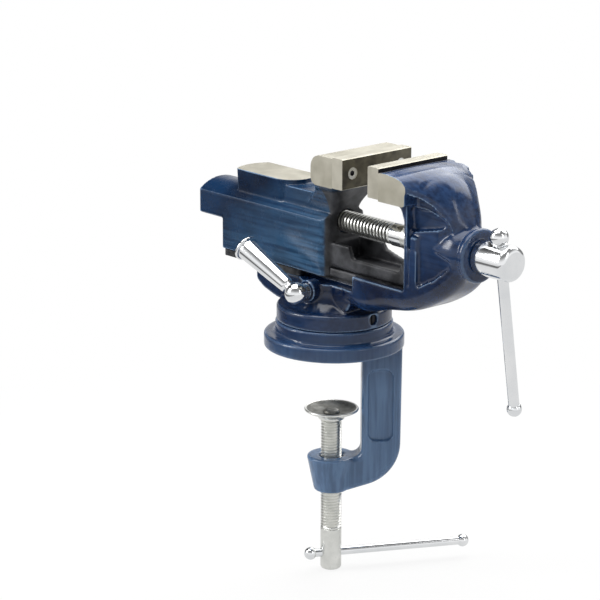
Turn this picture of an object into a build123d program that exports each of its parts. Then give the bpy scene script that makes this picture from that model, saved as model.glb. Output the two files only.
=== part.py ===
from build123d import *
import math
import os

# Clamp-on swivel bench vise, millimetres.
# Origin: swivel axis at the bench face. +X runs along the spindle to its head, +Z is up.

# ---- swivel base and C-clamp ----
disc_radius = 46.0
disc_thickness = 9.5
hub_radius = 38.5
hub_height = 8.5
clamp_heading = 50.0        # plan angle of the clamp arm from +X, degrees
arm_inner = 18.0            # throat face of the arm, from the swivel axis
arm_outer = 43.6
arm_width = 21.0
arm_panel_depth = 1.2
arm_panel_margin = 4.2
arm_panel_corner = 5.0
arm_toe = 8.0               # flat under the lower boss, from the swivel axis
arm_lift = 0.9              # underside of the arm above the underside of the boss
arm_corner_radius = 30.0
arm_inner_corner = 6.0
arm_edge_radius = 4.0
throat_depth = 76.0         # bench face down to the top of the lower boss
lower_boss_height = 24.0
lower_boss_top_radius = 16.4
lower_boss_bottom_radius = 11.4
clamp_screw_offset = -1.5   # screw axis from the swivel axis, away from the arm
arm_underside_slope = 18.0  # rise of the lower web towards the arm, degrees

# ---- clamp screw and pad ----
clamp_screw_diameter = 14.0
clamp_screw_clearance = 0.06
pad_height_below_bench = 43.4
pad_diameter = 36.0
pad_height = 7.2
pad_rim = 1.6
pad_dish_depth = 3.2
pad_neck_radius = 8.6
pad_hole_radius = 3.6
pad_play = 0.3
pad_dish_flat = 7.0
clamp_screw_nose = 1.5
rivet_shank_radius = 3.0
rivet_head_radius = 5.6
rivet_head_height = 1.6
rivet_shank_depth = 5.0
clamp_screw_length = 105.0
clamp_bar_from_end = 11.0
clamp_bar_diameter = 5.6
clamp_bar_heading = 62.0    # plan angle of the long end from +X, degrees
clamp_bar_spacing = 106.0   # between ball centres
clamp_bar_short_end = 14.0
clamp_knob_diameter = 8.6
bar_clearance = 0.08

# ---- swivel pivot ----
spigot_radius = 9.5
spigot_foot = 4.0
spigot_below_bed = 0.6
spigot_fit = 0.06
washer_inner = 12.0
washer_outer = 20.0
washer_thickness = 1.4
swivel_gap = 0.3
groove_depth = 2.2
groove_half_height = 3.0
lock_below_bed = 4.5
lock_position = 3.0
keeper_screw_height = 24.4  # grub screw that keeps the swivel on its spigot
grub_radius = 3.4

# ---- swivel body ----
collar_radius = 37.7
collar_top = 29.0
collar_core_outer = 31.0
collar_core_top = 26.0
collar_edge_radius = 2.2
neck_foot_radius = 33.5
neck_waist_radius = 25.5
neck_waist_height = 5.5
neck_top_radius = 23.0
bed_half_width = 17.0
bed_back = -58.0
bed_front = 34.0
bed_nose = 8.0              # height of the bed's front end
bed_top = 46.0
tee_neck_half_width = 9.7
tongue_play = 0.4
tee_height = 4.9
tongue_thickness = 5.4
post_front = 84.0
post_back = 116.0
rail_wide_from = 36.4
body_half_width = 19.2
side_panel_depth = 2.8
spindle_above_rail = 28.7
barrel_radius = 15.0
barrel_end = 133.0
barrel_flare = 2.6          # growth of the barrel's radius towards its boss
boss_ring_radius = 17.2
boss_ring_width = 4.5
boss_ring_edge = 1.2
boss_waist_radius = 15.9
boss_waist_width = 3.2
belly_start = 26.0
belly_bottom = 28.0
belly_roll = 9.5            # radius of the rolled lower edge
belly_setback = 3.0         # end of the belly before the end of the barrel
belly_tuck = 1.6            # underside above the waist's lowest line
web_flange_height = 14.5
web_rib_start = 4.7         # rib behind the post's front edge
web_rib_width = 6.2
web_rib_above_spindle = 7.5
web_rib_radius = 2.4
web_edge_width = 3.4
web_taper_length = 22.0     # narrowing of the web before the end of the barrel
web_inset = 1.5             # web behind the hood's edge
pocket_setback = 9.0
pocket_radius = 2.4
gusset_length = 11.0
gusset_height = 12.0
head_below_plate_top = 1.8
head_below_plate = 1.0
head_back = 95.0
head_heel_radius = 2.0
hood_rim = 3.2
hood_rim_growth = 1.8
cove_depth = 3.2            # hollow under the hood, on both sides of the web
cove_setback = 17.5
cove_above_spindle = 9.6
cove_rounding = 0.16        # corner radius as a share of its height
tunnel_end_gap = 0.9
tunnel_clearance = 0.3

# ---- jaws ----
jaw_half_width = 30.0
jaw_opening = 23.1
fixed_plate_face = 62.5
plate_thickness = 9.4
plate_height = 19.8
plate_above_spindle = 49.2
plate_screw_spacing = 42.0
plate_screw_radius = 3.9
plate_screw_shank = 2.4
plate_screw_depth = 16.0
moving_head_depth = 20.2
moving_head_below_plate = 0.4
moving_head_below_plate_top = 0.8
head_corner_radius = 5.0
head_top_radius = 8.0

# ---- moving jaw casting ----
box_half_width = 18.4
box_back = -92.0
box_front = 11.5
rail_gap = 0.3
ridge_above_spindle = 2.5
crown_above_spindle = 9.0
box_front_corner = 7.0
tail_back = -115.0
tail_below_spindle = 13.0
tail_belly_depth = 4.5
skirt_thickness = 4.0
cavity_below_spindle = 13.0
cavity_back = -86.0
cavity_front = 3.0
anvil_center = -61.7
anvil_radius = 23.7
anvil_half_width = 14.2
anvil_shoulder = -42.4      # where the flats end and the rounded front begins
anvil_nose = -26.5
anvil_above_crown = 12.4
anvil_flare = 3.0
saddle_half_width = 12.6
saddle_drop = 3.4           # top of the saddle below the anvil face
slide_half_width = 14.0
slide_front = 86.0
slide_below_spindle = 12.0
slide_wall = 3.6
slide_floor = 4.4
slide_edge_radius = 3.0
near_notch_from = 31.0
near_notch_ramp = 3.5
far_notch_from = 50.0
far_notch_ramp = 14.0
far_notch_step = 3.8
slide_notch_to = 74.0
slide_notch_depth = 7.6
slide_lift = 0.3
keeper_inner = 10.0
keeper_thickness = 4.1
keeper_front = -15.0
keeper_back = -90.0
keeper_screw_radius = 1.7
keeper_screw_count = 3
keeper_screw_length = 12.0

# ---- spindle and nut ----
spindle_diameter = 14.0
spindle_clearance = 0.06
nut_bore_clearance = 0.06
spindle_tip = -85.0
spindle_shoulder_gap = 0.2
spindle_head_radius = 11.3
spindle_head_length = 27.5
spindle_head_edge = 4.0
tail_bore_depth = 110.5
casting_bore_radius = 7.9
nut_back = -62.0
nut_length = 21.4
nut_half_width = 10.0
nut_pocket_clearance = 0.3
nut_foot_thickness = 5.4
nut_foot_play = 0.8
nut_foot_overhang = 9.0
nut_screw_radius = 2.3
nut_screw_head_radius = 4.0
nut_screw_head_height = 3.4
nut_screw_reach = 5.0
retaining_collar_radius = 7.9
retaining_collar_length = 15.6
retaining_pin_radius = 1.5
spindle_bar_offset = 16.4   # tommy bar beyond the end of the barrel
spindle_bar_diameter = 7.0
spindle_bar_spacing = 113.5
spindle_bar_upper_knob = 12.0
spindle_bar_lower_knob = 9.6
spindle_bar_tilt = 8.5      # from vertical, lower end towards +Y, degrees
spindle_bar_seat = 15.6     # upper knob centre from the spindle axis at rest

# ---- lock screw and lever ----
lock_screw_radius = 4.0
lock_shoe_length = 5.0
lock_gap = 0.9
lock_nose_gap = 0.8
lock_boss_radius = 7.2
lock_boss_end = 27.0
lock_hub_radius = 7.4
lock_hub_distance = 36.0
lock_lever_length = 54.0
lock_lever_rise = 22.8      # lever angle above -X, degrees
lock_lever_root_radius = 4.4
lock_lever_end_radius = 5.7
lock_lever_cap_radius = 7.6

# ---- sizes that follow from the ones above ----
moving_plate_face = fixed_plate_face - jaw_opening
collar_bottom = disc_thickness + hub_height + swivel_gap
plate_back = fixed_plate_face + plate_thickness
web_half_width = body_half_width - side_panel_depth
cavity_half_width = box_half_width - skirt_thickness
tongue_half_width = cavity_half_width - tongue_play
nut_foot_half_width = cavity_half_width - nut_foot_play
spigot_top = bed_top - spigot_below_bed
lock_height = bed_top - lock_below_bed
tongue_bottom = bed_top + tee_height
tongue_top = tongue_bottom + tongue_thickness
spindle_height = tongue_top + spindle_above_rail
plate_top = spindle_height + plate_above_spindle
plate_bottom = plate_top - plate_height
head_top = plate_top - head_below_plate_top
head_bottom = plate_bottom - head_below_plate
moving_head_top = plate_top - moving_head_below_plate_top
moving_head_bottom = plate_bottom - moving_head_below_plate
box_bottom = tongue_bottom - rail_gap
box_ridge = spindle_height + ridge_above_spindle
box_crown = spindle_height + crown_above_spindle
anvil_top = box_crown + anvil_above_crown
cavity_top = spindle_height - cavity_below_spindle
tail_bottom = spindle_height - tail_below_spindle
slide_top = spindle_height - slide_below_spindle
tunnel_end = slide_front + jaw_opening + tunnel_end_gap
spindle_bar_position = barrel_end + spindle_bar_offset


def cylinder_x(radius, start, end, y=0.0, z=0.0):
    """Solid cylinder along X."""
    return Pos(start, y, z) * Rot(0, 90, 0) * Cylinder(
        radius, end - start, align=(Align.CENTER, Align.CENTER, Align.MIN))


def cylinder_y(radius, start, end, x=0.0, z=0.0):
    """Solid cylinder along Y, from start to the larger end."""
    return Pos(x, start, z) * Rot(-90, 0, 0) * Cylinder(
        radius, end - start, align=(Align.CENTER, Align.CENTER, Align.MIN))


def cylinder_z(radius, start, end, x=0.0, y=0.0):
    """Solid cylinder along Z."""
    return Pos(x, y, start) * Cylinder(
        radius, end - start, align=(Align.CENTER, Align.CENTER, Align.MIN))


def block(x0, x1, y0, y1, z0, z1):
    """Solid block between two corners."""
    return Pos(x0, y0, z0) * Box(
        x1 - x0, y1 - y0, z1 - z0, align=(Align.MIN, Align.MIN, Align.MIN))


def plate_xz(points, half_width, radii=None):
    """Polygon in the XZ plane, extruded both ways along Y; radii rounds chosen corners."""
    with BuildSketch(Plane.XZ) as sketch:
        with BuildLine():
            Polyline(*points, close=True)
        make_face()
        for corner, radius in (radii or {}).items():
            x, z = points[corner]
            near = sketch.vertices().sort_by_distance(Vector(x, z, 0))[0]
            fillet(near, radius)
    return extrude(sketch.sketch, amount=half_width, both=True)


def edges_along(solid, axis, keep):
    """Straight edges parallel to an axis whose centre passes the test."""
    return [edge for edge in solid.edges().filter_by(axis) if keep(edge.center())]


def turned(points):
    """Solid of revolution about Z from (radius, z) points."""
    with BuildSketch(Plane.XZ) as sketch:
        with BuildLine():
            Polyline(*points, close=True)
        make_face()
    return revolve(sketch.sketch, Axis.Z)


# ---------------------------------------------------------------- bench clamp

clamp_axis = Pos(0, 0, 0) * Rot(0, 0, clamp_heading)
boss_top = -throat_depth
boss_bottom = boss_top - lower_boss_height


def arm_profile():
    """C profile from under the disc down to the lower boss, as polygon corners."""
    slope = math.tan(math.radians(arm_underside_slope))
    corner_z = boss_bottom + (arm_outer - arm_toe) * slope
    return [
        (arm_inner, disc_thickness - 2.0),
        (arm_outer + 1.0, disc_thickness - 2.0),
        (arm_outer, corner_z),
        (arm_toe, boss_bottom + arm_lift),
        (clamp_screw_offset, boss_bottom + arm_lift),
        (clamp_screw_offset, boss_top),
        (arm_inner, boss_top),
    ]


def clamp_frame():
    disc = cylinder_z(disc_radius, 0, disc_thickness)
    disc = fillet(disc.edges(), 1.6)
    hub = cylinder_z(hub_radius, disc_thickness - 1.0, disc_thickness + hub_height)
    hub = fillet(hub.edges().sort_by(Axis.Z)[-1], 1.2)
    arm = plate_xz(arm_profile(), arm_width / 2, {2: arm_corner_radius, 6: arm_inner_corner})
    side = [e for e in arm.edges() if abs(abs(e.center().Y) - arm_width / 2) < 0.01
            and e.center().X > arm_inner - 2.0 and e.center().Z < disc_thickness - 3.0]
    arm = fillet(side, arm_edge_radius)
    boss = Pos(clamp_screw_offset, 0, boss_bottom) * Cone(
        lower_boss_bottom_radius, lower_boss_top_radius, lower_boss_height,
        align=(Align.CENTER, Align.CENTER, Align.MIN))
    boss = fillet(boss.edges().filter_by(GeomType.CIRCLE), 1.3)
    body = disc + hub + arm + boss
    for side in (-1, 1):
        panel = arm_panel().moved(Location((0, side * (arm_width / 2 - arm_panel_depth), 0)))
        if side < 0:
            panel = panel.moved(Location((0, -arm_panel_depth, 0)))
        body -= panel
    body -= cylinder_z(clamp_screw_diameter / 2 + clamp_screw_clearance,
                       boss_bottom - 1, boss_top + 1, clamp_screw_offset)
    body -= Pos(clamp_screw_offset, 0, boss_top - 1.6) * Cone(
        clamp_screw_diameter / 2, clamp_screw_diameter / 2 + 1.8, 1.8,
        align=(Align.CENTER, Align.CENTER, Align.MIN))
    body -= cylinder_z(spigot_radius, spigot_foot, disc_thickness + hub_height + 1)
    top = disc_thickness + hub_height
    seat = cylinder_z(washer_outer, top - washer_thickness + swivel_gap, top + 1)
    seat -= cylinder_z(washer_inner, top - washer_thickness - 1, top + 2)
    body -= seat
    return clamp_axis * body


def arm_panel():
    """Cutter for the recess in one side of the arm, thickness along +Y."""
    high = -throat_depth * 0.2
    low = -throat_depth * 0.84
    u0 = arm_inner + arm_panel_margin
    u1 = arm_outer - arm_panel_margin - 1.0
    with BuildSketch(Plane.XZ) as sketch:
        with BuildLine():
            Polyline((u0, high), (u1, high), (u1, low), (u0, low), close=True)
        make_face()
        fillet(sketch.vertices(), arm_panel_corner)
    return extrude(sketch.sketch, amount=-(arm_panel_depth + 1.0))


def pivot_spigot():
    r = spigot_radius
    g = groove_depth
    h = groove_half_height
    low = keeper_screw_height
    return turned([
        (0, spigot_foot), (r, spigot_foot),
        (r, low - h), (r - g, low - h + g), (r - g, low + h - g), (r, low + h),
        (r, lock_height - h), (r - g, lock_height), (r, lock_height + h),
        (r, spigot_top - 0.4), (r - 1.0, spigot_top), (0, spigot_top)])


def thrust_washer():
    base = disc_thickness + hub_height - washer_thickness + swivel_gap
    ring = cylinder_z(washer_outer - 0.1, base, base + washer_thickness)
    return ring - cylinder_z(washer_inner + 0.1, base - 1, base + washer_thickness + 1)


# ---------------------------------------------------------------- swivel body

def neck():
    """Waisted turned neck between collar and bed."""
    with BuildSketch(Plane.XZ) as sketch:
        with BuildLine():
            Line((0, collar_top - 1), (neck_foot_radius, collar_top - 1))
            Line((neck_foot_radius, collar_top - 1), (neck_foot_radius, collar_top))
            Spline((neck_foot_radius, collar_top),
                   (neck_waist_radius, collar_top + neck_waist_height),
                   (neck_top_radius, bed_top))
            Line((neck_top_radius, bed_top), (0, bed_top))
            Line((0, bed_top), (0, collar_top - 1))
        make_face()
    return revolve(sketch.sketch, Axis.Z)


# Underside of the bed's tail: distance from its end, distance below its top.
bed_curve = ((0, 10), (7, 14.5), (18, 18), (28, 20))

# Shape of the belly from its start to the boss: share of the length, share of the rise,
# share of the body's half width.
belly_curve = ((0, 0, 0.86), (0.142, 0.127, 0.97), (0.311, 0.211, 1), (0.477, 0.296, 1),
               (0.666, 0.421, 1), (0.816, 0.616, 0.97), (0.899, 0.773, 0.90),
               (0.952, 0.912, 0.82), (1, 1, 0.74))

# Shape of the hood from the plate's back to the boss: share of the length behind the plate,
# share of the fall to the spindle axis, share of the jaw's half width, crown over the ridge.
hood_curve = ((0, 0, 1, 0.3), (0.11, 0.010, 1, 1.0), (0.22, 0.034, 1, 2.2),
              (0.33, 0.064, 1, 3.7), (0.42, 0.122, 0.957, 5.4), (0.52, 0.182, 0.815, 6.8),
              (0.61, 0.243, 0.70, 7.8), (0.70, 0.328, 0.585, 8.7), (0.79, 0.460, 0.48, 9.8),
              (0.88, 0.684, 0.36, 10.5), (0.98, 0.800, 0.26, 5.6))


def value_at(stations, x, column):
    """One column of a list of stations, interpolated at x."""
    for start, end in zip(stations, stations[1:]):
        if x <= end[0]:
            break
    return start[column] + (end[column] - start[column]) * (x - start[0]) / (end[0] - start[0])


def belly_stations():
    """(x, underside, half width) along the body."""
    length = barrel_end - belly_setback - belly_start
    rise = spindle_height - boss_waist_radius + belly_tuck - belly_bottom
    return [(belly_start + share * length, belly_bottom + up * rise, wide * body_half_width)
            for share, up, wide in belly_curve]


def belly_section(x, low, half):
    """Section of the lower body: straight sides over a rolled underside."""
    top = spindle_height - 1.0
    turn = belly_roll * (1 - math.sqrt(0.5))
    with BuildSketch(Plane.YZ.offset(x)) as sketch:
        with BuildLine():
            Line((-half, top), (-half, low + belly_roll))
            ThreePointArc((-half, low + belly_roll), (-half + turn, low + turn),
                          (-half + belly_roll, low))
            Line((-half + belly_roll, low), (half - belly_roll, low))
            ThreePointArc((half - belly_roll, low), (half - turn, low + turn),
                          (half, low + belly_roll))
            Line((half, low + belly_roll), (half, top))
            Line((half, top), (-half, top))
        make_face()
    return sketch.sketch


def lower_body():
    """Belly and rail block, from the neck to the boss."""
    solid = loft([belly_section(*station) for station in belly_stations()])
    wide = body_half_width + 1.0
    solid -= block(belly_start - 1, rail_wide_from, -wide, wide, bed_top, spindle_height)
    solid -= block(rail_wide_from - 1, post_front, -wide, wide, tongue_top, spindle_height)
    return solid


def hood_stations():
    """(x, ridge height, half width, crown height, rim thickness) along the hood."""
    length = barrel_end - boss_ring_width - plate_back
    fall = head_top - spindle_height
    stations = []
    for share, down, wide, crown in hood_curve:
        ridge = head_top - down * fall
        rim = hood_rim + hood_rim_growth * share
        stations.append((plate_back + share * length, ridge, wide * jaw_half_width,
                         ridge + crown, rim))
    return stations


def hood_section(x, ridge, half, crown, rim):
    """Section of the hood: crowned top over a thin rim."""
    with BuildSketch(Plane.YZ.offset(x)) as sketch:
        with BuildLine():
            ThreePointArc((-half, ridge), (0, crown), (half, ridge))
            Line((half, ridge), (half, ridge - rim))
            Line((half, ridge - rim), (-half, ridge - rim))
            Line((-half, ridge - rim), (-half, ridge))
        make_face()
    return sketch.sketch


def fixed_head():
    """Fixed jaw head, the hood that sweeps from it to the boss, and the web below the hood."""
    stations = hood_stations()
    hood = loft([hood_section(*station) for station in stations])
    inside = [(x, ridge - rim / 2) for x, ridge, _, _, rim in stations]
    top = [point for point in inside if point[0] < head_back - 1.0]
    top.append((head_back, value_at(inside, head_back, 1)))
    head = plate_xz([(plate_back, head_bottom)] + top + [(head_back, head_bottom)],
                    jaw_half_width, {len(top) + 1: head_heel_radius})
    back = [point for point in inside if point[0] > post_front]
    web = plate_xz([(post_front, spindle_height), (post_front, head_bottom + 2.0)] + back
                   + [(back[-1][0], spindle_height)], web_half_width)
    tip_x, _, tip, _, _ = stations[-2]
    tip -= web_inset
    side = [(post_front - 1, web_half_width), (barrel_end - web_taper_length, web_half_width),
            (tip_x, tip), (barrel_end, tip - web_inset)]
    with BuildSketch() as plan:
        with BuildLine():
            Polyline(*side, *[(x, -y) for x, y in reversed(side)], close=True)
        make_face()
    return head + hood + (web & extrude(plan.sketch, amount=2 * head_top))


def spindle_barrel():
    """Barrel round the spindle, growing into a waisted boss with a ring at its end."""
    ring = barrel_end - boss_ring_width
    waist = ring - boss_waist_width
    swell = barrel_radius + barrel_flare
    middle = (post_front + waist) / 2
    edge = boss_ring_edge
    with BuildSketch(Plane.XY) as sketch:
        with BuildLine():
            Line((post_front, 0), (post_front, barrel_radius))
            Spline((post_front, barrel_radius), (middle, barrel_radius + barrel_flare * 0.4),
                   (waist - boss_waist_width, swell), (ring - edge / 2, boss_waist_radius))
            Polyline((ring - edge / 2, boss_waist_radius), (ring, boss_ring_radius - edge / 2),
                     (ring + edge / 2, boss_ring_radius), (barrel_end - edge, boss_ring_radius),
                     (barrel_end, boss_ring_radius - edge), (barrel_end, 0), (post_front, 0))
        make_face()
    return Pos(0, 0, spindle_height) * revolve(sketch.sketch, Axis.X)


def swivel_body():
    collar = cylinder_z(collar_radius, collar_bottom, collar_top)
    collar = fillet(collar.edges().sort_by(Axis.Z)[-1], collar_edge_radius)
    low = [(bed_back + along, bed_top - down) for along, down in bed_curve]
    bed = plate_xz([(bed_back, bed_top)] + low + [(belly_start, low[-1][1]),
                    (bed_front, bed_top - bed_nose), (bed_front, bed_top)],
                   bed_half_width, {1: 3.0, 2: 5.0})
    tee = block(bed_back, rail_wide_from + 1, -tee_neck_half_width, tee_neck_half_width,
                bed_top - 1, tongue_bottom + 1)
    tongue = block(bed_back, rail_wide_from + 1, -tongue_half_width, tongue_half_width,
                   tongue_bottom, tongue_top)
    post = block(post_front, tunnel_end + 4.0, -web_half_width, web_half_width,
                 spindle_height - 5.0, spindle_height + 5.0)
    edge = block(post_front, post_front + web_edge_width, -body_half_width, body_half_width,
                 tongue_top - 2, head_bottom + 0.5)
    rib_start = post_front + web_rib_start
    rib = block(rib_start, rib_start + web_rib_width, -body_half_width, body_half_width,
                tongue_top - 2, spindle_height + web_rib_above_spindle)
    rib = fillet(edges_along(rib, Axis.Z, lambda c: True), web_rib_radius)
    gusset = plate_xz([(post_front + 1, head_bottom + 1),
                       (post_front + 1, head_bottom - gusset_height)]
                      + [(post_front - out * gusset_length, head_bottom - down * gusset_height)
                         for out, down in ((0, 1), (0.24, 0.46), (0.51, 0.15), (1, -0.08))],
                      body_half_width)
    lock_boss = cylinder_y(lock_boss_radius, -lock_boss_end, -10.0, lock_position, lock_height)
    lock_boss -= block(lock_position - lock_boss_radius, lock_position + lock_boss_radius,
                       -bed_half_width - 2.0, 0, bed_top, lock_height + lock_boss_radius)
    body = collar + neck() + bed + lower_body() + tee + tongue + post + edge + rib
    body += gusset
    body += spindle_barrel() + lock_boss + fixed_head()
    body -= side_hollows()
    body -= tunnel_cut()
    body -= cylinder_x(spindle_diameter / 2 + spindle_clearance, post_front - 2 * gusset_length,
                       barrel_end + 5, z=spindle_height)
    body -= cylinder_z(spigot_radius + spigot_fit, collar_bottom - 1, spigot_top + 0.4)
    core = cylinder_z(collar_core_outer, collar_bottom - 1, collar_core_top)
    core -= cylinder_z(washer_outer, collar_bottom - 2, collar_core_top + 1)
    body -= core
    body -= cylinder_y(lock_screw_radius + 0.05, -lock_boss_end - 2, 0, lock_position, lock_height)
    body -= cylinder_x(grub_radius, 0, collar_radius + 2, z=keeper_screw_height)
    body -= plate_screw_holes(plate_back - 1, 1)
    return body


# Outline of the cove: share of its length, share of its height.
cove_curve = ((0, 0), (1, 0.37), (1, 0.71), (0.64, 0.92), (0, 1))


def side_hollows():
    """Web pocket under the barrel, cove under the hood and groove before the rib, both sides."""
    edge_back = post_front + web_edge_width
    rib_back = post_front + web_rib_start + web_rib_width
    reach = barrel_end - pocket_setback
    floor = [(x, value_at(belly_stations(), x, 1) + web_flange_height)
             for x in (reach - web_edge_width, (rib_back + reach) / 2, rib_back)]
    pocket = [(rib_back, spindle_height + web_rib_above_spindle - pocket_radius),
              (reach, spindle_height - pocket_radius)] + floor
    cove_length = barrel_end - cove_setback - edge_back
    cove_floor = spindle_height + cove_above_spindle
    ceiling = head_bottom - web_inset
    cove = [(edge_back + along * cove_length, cove_floor + up * (ceiling - cove_floor))
            for along, up in cove_curve]
    cutters = []
    for side in (-1, 1):
        for points, radius, depth in ((pocket, pocket_radius, web_half_width),
                                      (cove, cove_rounding * (ceiling - cove_floor),
                                       web_half_width - cove_depth)):
            with BuildSketch(Plane.XZ) as sketch:
                with BuildLine():
                    Polyline(*points, close=True)
                make_face()
                fillet(sketch.vertices(), radius)
            cut = extrude(sketch.sketch, amount=side * body_half_width)
            cutters.append(cut.moved(Location((0, -side * depth, 0))))
        ends = sorted((side * (web_half_width + side_panel_depth / 2),
                       side * (body_half_width + 1)))
        cutters.append(block(edge_back, post_front + web_rib_start, ends[0], ends[1],
                             floor[-1][1], cove_floor))
    return cutters


def tunnel_cut():
    """Passage through the post for the moving jaw's slide bar."""
    half = slide_half_width + tunnel_clearance
    hole = block(post_front - 2, tunnel_end, -half, half, tongue_top, slide_top + tunnel_clearance)
    return fillet(edges_along(hole, Axis.X, lambda c: c.Z < tongue_top + 1), slide_edge_radius)


def plate_screw_holes(start, direction):
    """Two blind screw holes into a jaw head, as cutters."""
    cutters = []
    for side in (-1, 1):
        y = side * plate_screw_spacing / 2
        z = (plate_bottom + plate_top) / 2
        ends = sorted((start, start + direction * plate_screw_depth))
        cutters.append(cylinder_x(plate_screw_shank, ends[0], ends[1], y, z))
    return cutters


def grub_screw():
    """Set screw whose cone point runs in the spigot's lower groove."""
    point = spigot_radius - groove_depth + swivel_gap
    shank = spigot_radius + swivel_gap
    screw = cylinder_x(grub_radius, shank, collar_radius - 2.0, z=keeper_screw_height)
    flat = groove_half_height - groove_depth
    tip = Pos(point, 0, keeper_screw_height) * Rot(0, 90, 0) * Cone(
        flat, flat + shank - point, shank - point, align=(Align.CENTER, Align.CENTER, Align.MIN))
    slot = block(collar_radius - 4.0, collar_radius, -0.6, 0.6,
                 keeper_screw_height - 4, keeper_screw_height + 4)
    return screw + tip - slot


# ---------------------------------------------------------------- jaw plates

def jaw_plate(face, direction):
    """Hardened plate; direction points from its working face into the jaw."""
    ends = sorted((face, face + direction * plate_thickness))
    plate = block(ends[0], ends[1], -jaw_half_width, jaw_half_width, plate_bottom, plate_top)
    for side in (-1, 1):
        y = side * plate_screw_spacing / 2
        z = (plate_bottom + plate_top) / 2
        plate -= cylinder_x(plate_screw_shank, ends[0] - 1, ends[1] + 1, y, z)
        sunk = sorted((face - direction, face + direction * 3.2))
        plate -= cylinder_x(plate_screw_radius, sunk[0], sunk[1], y, z)
    return chamfer(plate.edges().filter_by(Axis.Y), 0.5)


def jaw_screws(face, direction):
    """Two countersunk screws from the working face into the jaw."""
    screws = []
    for side in (-1, 1):
        y = side * plate_screw_spacing / 2
        z = (plate_bottom + plate_top) / 2
        head = sorted((face + direction * 0.5, face + direction * 3.2))
        shank = sorted((face + direction * 3.2,
                        face + direction * (plate_thickness + plate_screw_depth - 2.0)))
        screw = cylinder_x(plate_screw_radius, head[0], head[1], y, z)
        screw += cylinder_x(plate_screw_shank, shank[0], shank[1], y, z)
        socket = sorted((face, face + direction * 2.0))
        screw -= Pos(socket[0], y, z) * Rot(0, 90, 0) * extrude(
            RegularPolygon(1.9, 6), amount=socket[1] - socket[0])
        screws.append(screw)
    return Compound(children=screws)


# ---------------------------------------------------------------- moving jaw

def crowned_section(x, bottom, belly):
    """Body section at x: straight sides, arched top and, for the tail, a rounded bottom."""
    with BuildSketch(Plane.YZ.offset(x)) as sketch:
        with BuildLine():
            Line((-box_half_width, bottom), (-box_half_width, box_ridge))
            ThreePointArc((-box_half_width, box_ridge), (0, box_crown), (box_half_width, box_ridge))
            Line((box_half_width, box_ridge), (box_half_width, bottom))
            if belly < bottom:
                ThreePointArc((box_half_width, bottom), (0, belly), (-box_half_width, bottom))
            else:
                Line((box_half_width, bottom), (-box_half_width, bottom))
        make_face()
    return sketch.sketch


def anvil_plan(inset):
    """Outline of the anvil: round back, two flats and a rounded nose."""
    half = anvil_half_width - inset
    radius = anvil_radius - inset
    back = anvil_center - math.sqrt(radius ** 2 - half ** 2)
    Line((back, -half), (anvil_shoulder, -half))
    ThreePointArc((anvil_shoulder, -half), (anvil_nose - inset, 0), (anvil_shoulder, half))
    Line((anvil_shoulder, half), (back, half))
    ThreePointArc((back, half), (anvil_center - radius, 0), (back, -half))


def anvil():
    """Anvil whose walls flare slightly towards the top."""
    foot = box_ridge - 4.0
    sections = []
    for z, inset in ((foot, (anvil_top - foot) * math.tan(math.radians(anvil_flare))),
                     (anvil_top, 0.0)):
        with BuildSketch(Plane.XY.offset(z)) as sketch:
            with BuildLine():
                anvil_plan(inset)
            make_face()
        sections.append(sketch.sketch)
    return loft(sections)


# Shape of the neck: share of its height, distance of its back and front behind the jaw plate,
# share of the jaw's half width.
neck_curve = ((0, 58.0, 20.0, 0.43), (0.353, 44.0, 16.5, 0.44), (0.647, 32.0, 9.5, 0.60),
              (1, 22.0, 1.5, 0.90))


def jaw_neck():
    """Support from the box up to the moving jaw head, leaning forward over the opening."""
    foot = box_ridge - 3.5
    rise = moving_head_bottom + 4.0 - foot
    head_front = moving_plate_face - plate_thickness
    sections = []
    for share, back, front, half in neck_curve:
        with BuildSketch(Plane.XY.offset(foot + share * rise)) as sketch:
            with Locations((head_front - (back + front) / 2, 0)):
                RectangleRounded(back - front, 2 * half * jaw_half_width, 4.2)
        sections.append(sketch.sketch)
    saddle = block(anvil_shoulder - 4.0, box_front - 2 * box_front_corner,
                   -saddle_half_width, saddle_half_width, foot, anvil_top - saddle_drop)
    return loft(sections) + saddle


def moving_head():
    x1 = moving_plate_face - plate_thickness
    x0 = x1 - moving_head_depth
    head = block(x0, x1, -jaw_half_width, jaw_half_width, moving_head_bottom, moving_head_top)
    head = fillet(edges_along(head, Axis.Y, lambda c: c.X < x0 + 0.1 and c.Z < moving_head_top - 1),
                  head_corner_radius)
    return fillet(edges_along(head, Axis.Y, lambda c: c.X < x0 + 0.1 and c.Z > moving_head_top - 1),
                  head_top_radius)


def slide_bar():
    """Channel-shaped bar that runs forward under the spindle into the post."""
    low = tongue_top + slide_lift
    bar = block(cavity_front, slide_front, -slide_half_width, slide_half_width, low, slide_top)
    bar = fillet(edges_along(bar, Axis.Z, lambda c: c.X > slide_front - 1), 2.0)
    bar = fillet(edges_along(bar, Axis.X, lambda c: c.Z < low + 1), slide_edge_radius)
    inner = slide_half_width - slide_wall
    bar -= block(box_front + 1, slide_front + 1, -inner, inner, low + slide_floor, slide_top + 1)
    floor = slide_top - slide_notch_depth
    far_top = far_notch_from - far_notch_ramp
    near = [(near_notch_from, floor), (slide_notch_to, floor),
            (slide_notch_to + near_notch_ramp, slide_top + 1),
            (near_notch_from - near_notch_ramp, slide_top + 1)]
    far = [(far_notch_from, floor), (slide_notch_to, floor), near[2],
           (far_top - near_notch_ramp, slide_top + 1), (far_top, floor + far_notch_step)]
    for side, points in ((-1, near), (1, far)):
        notch = plate_xz(points, slide_wall, {0: 2.5, 1: 2.5})
        bar -= notch.moved(Location((0, side * slide_half_width, 0)))
    return bar


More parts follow.
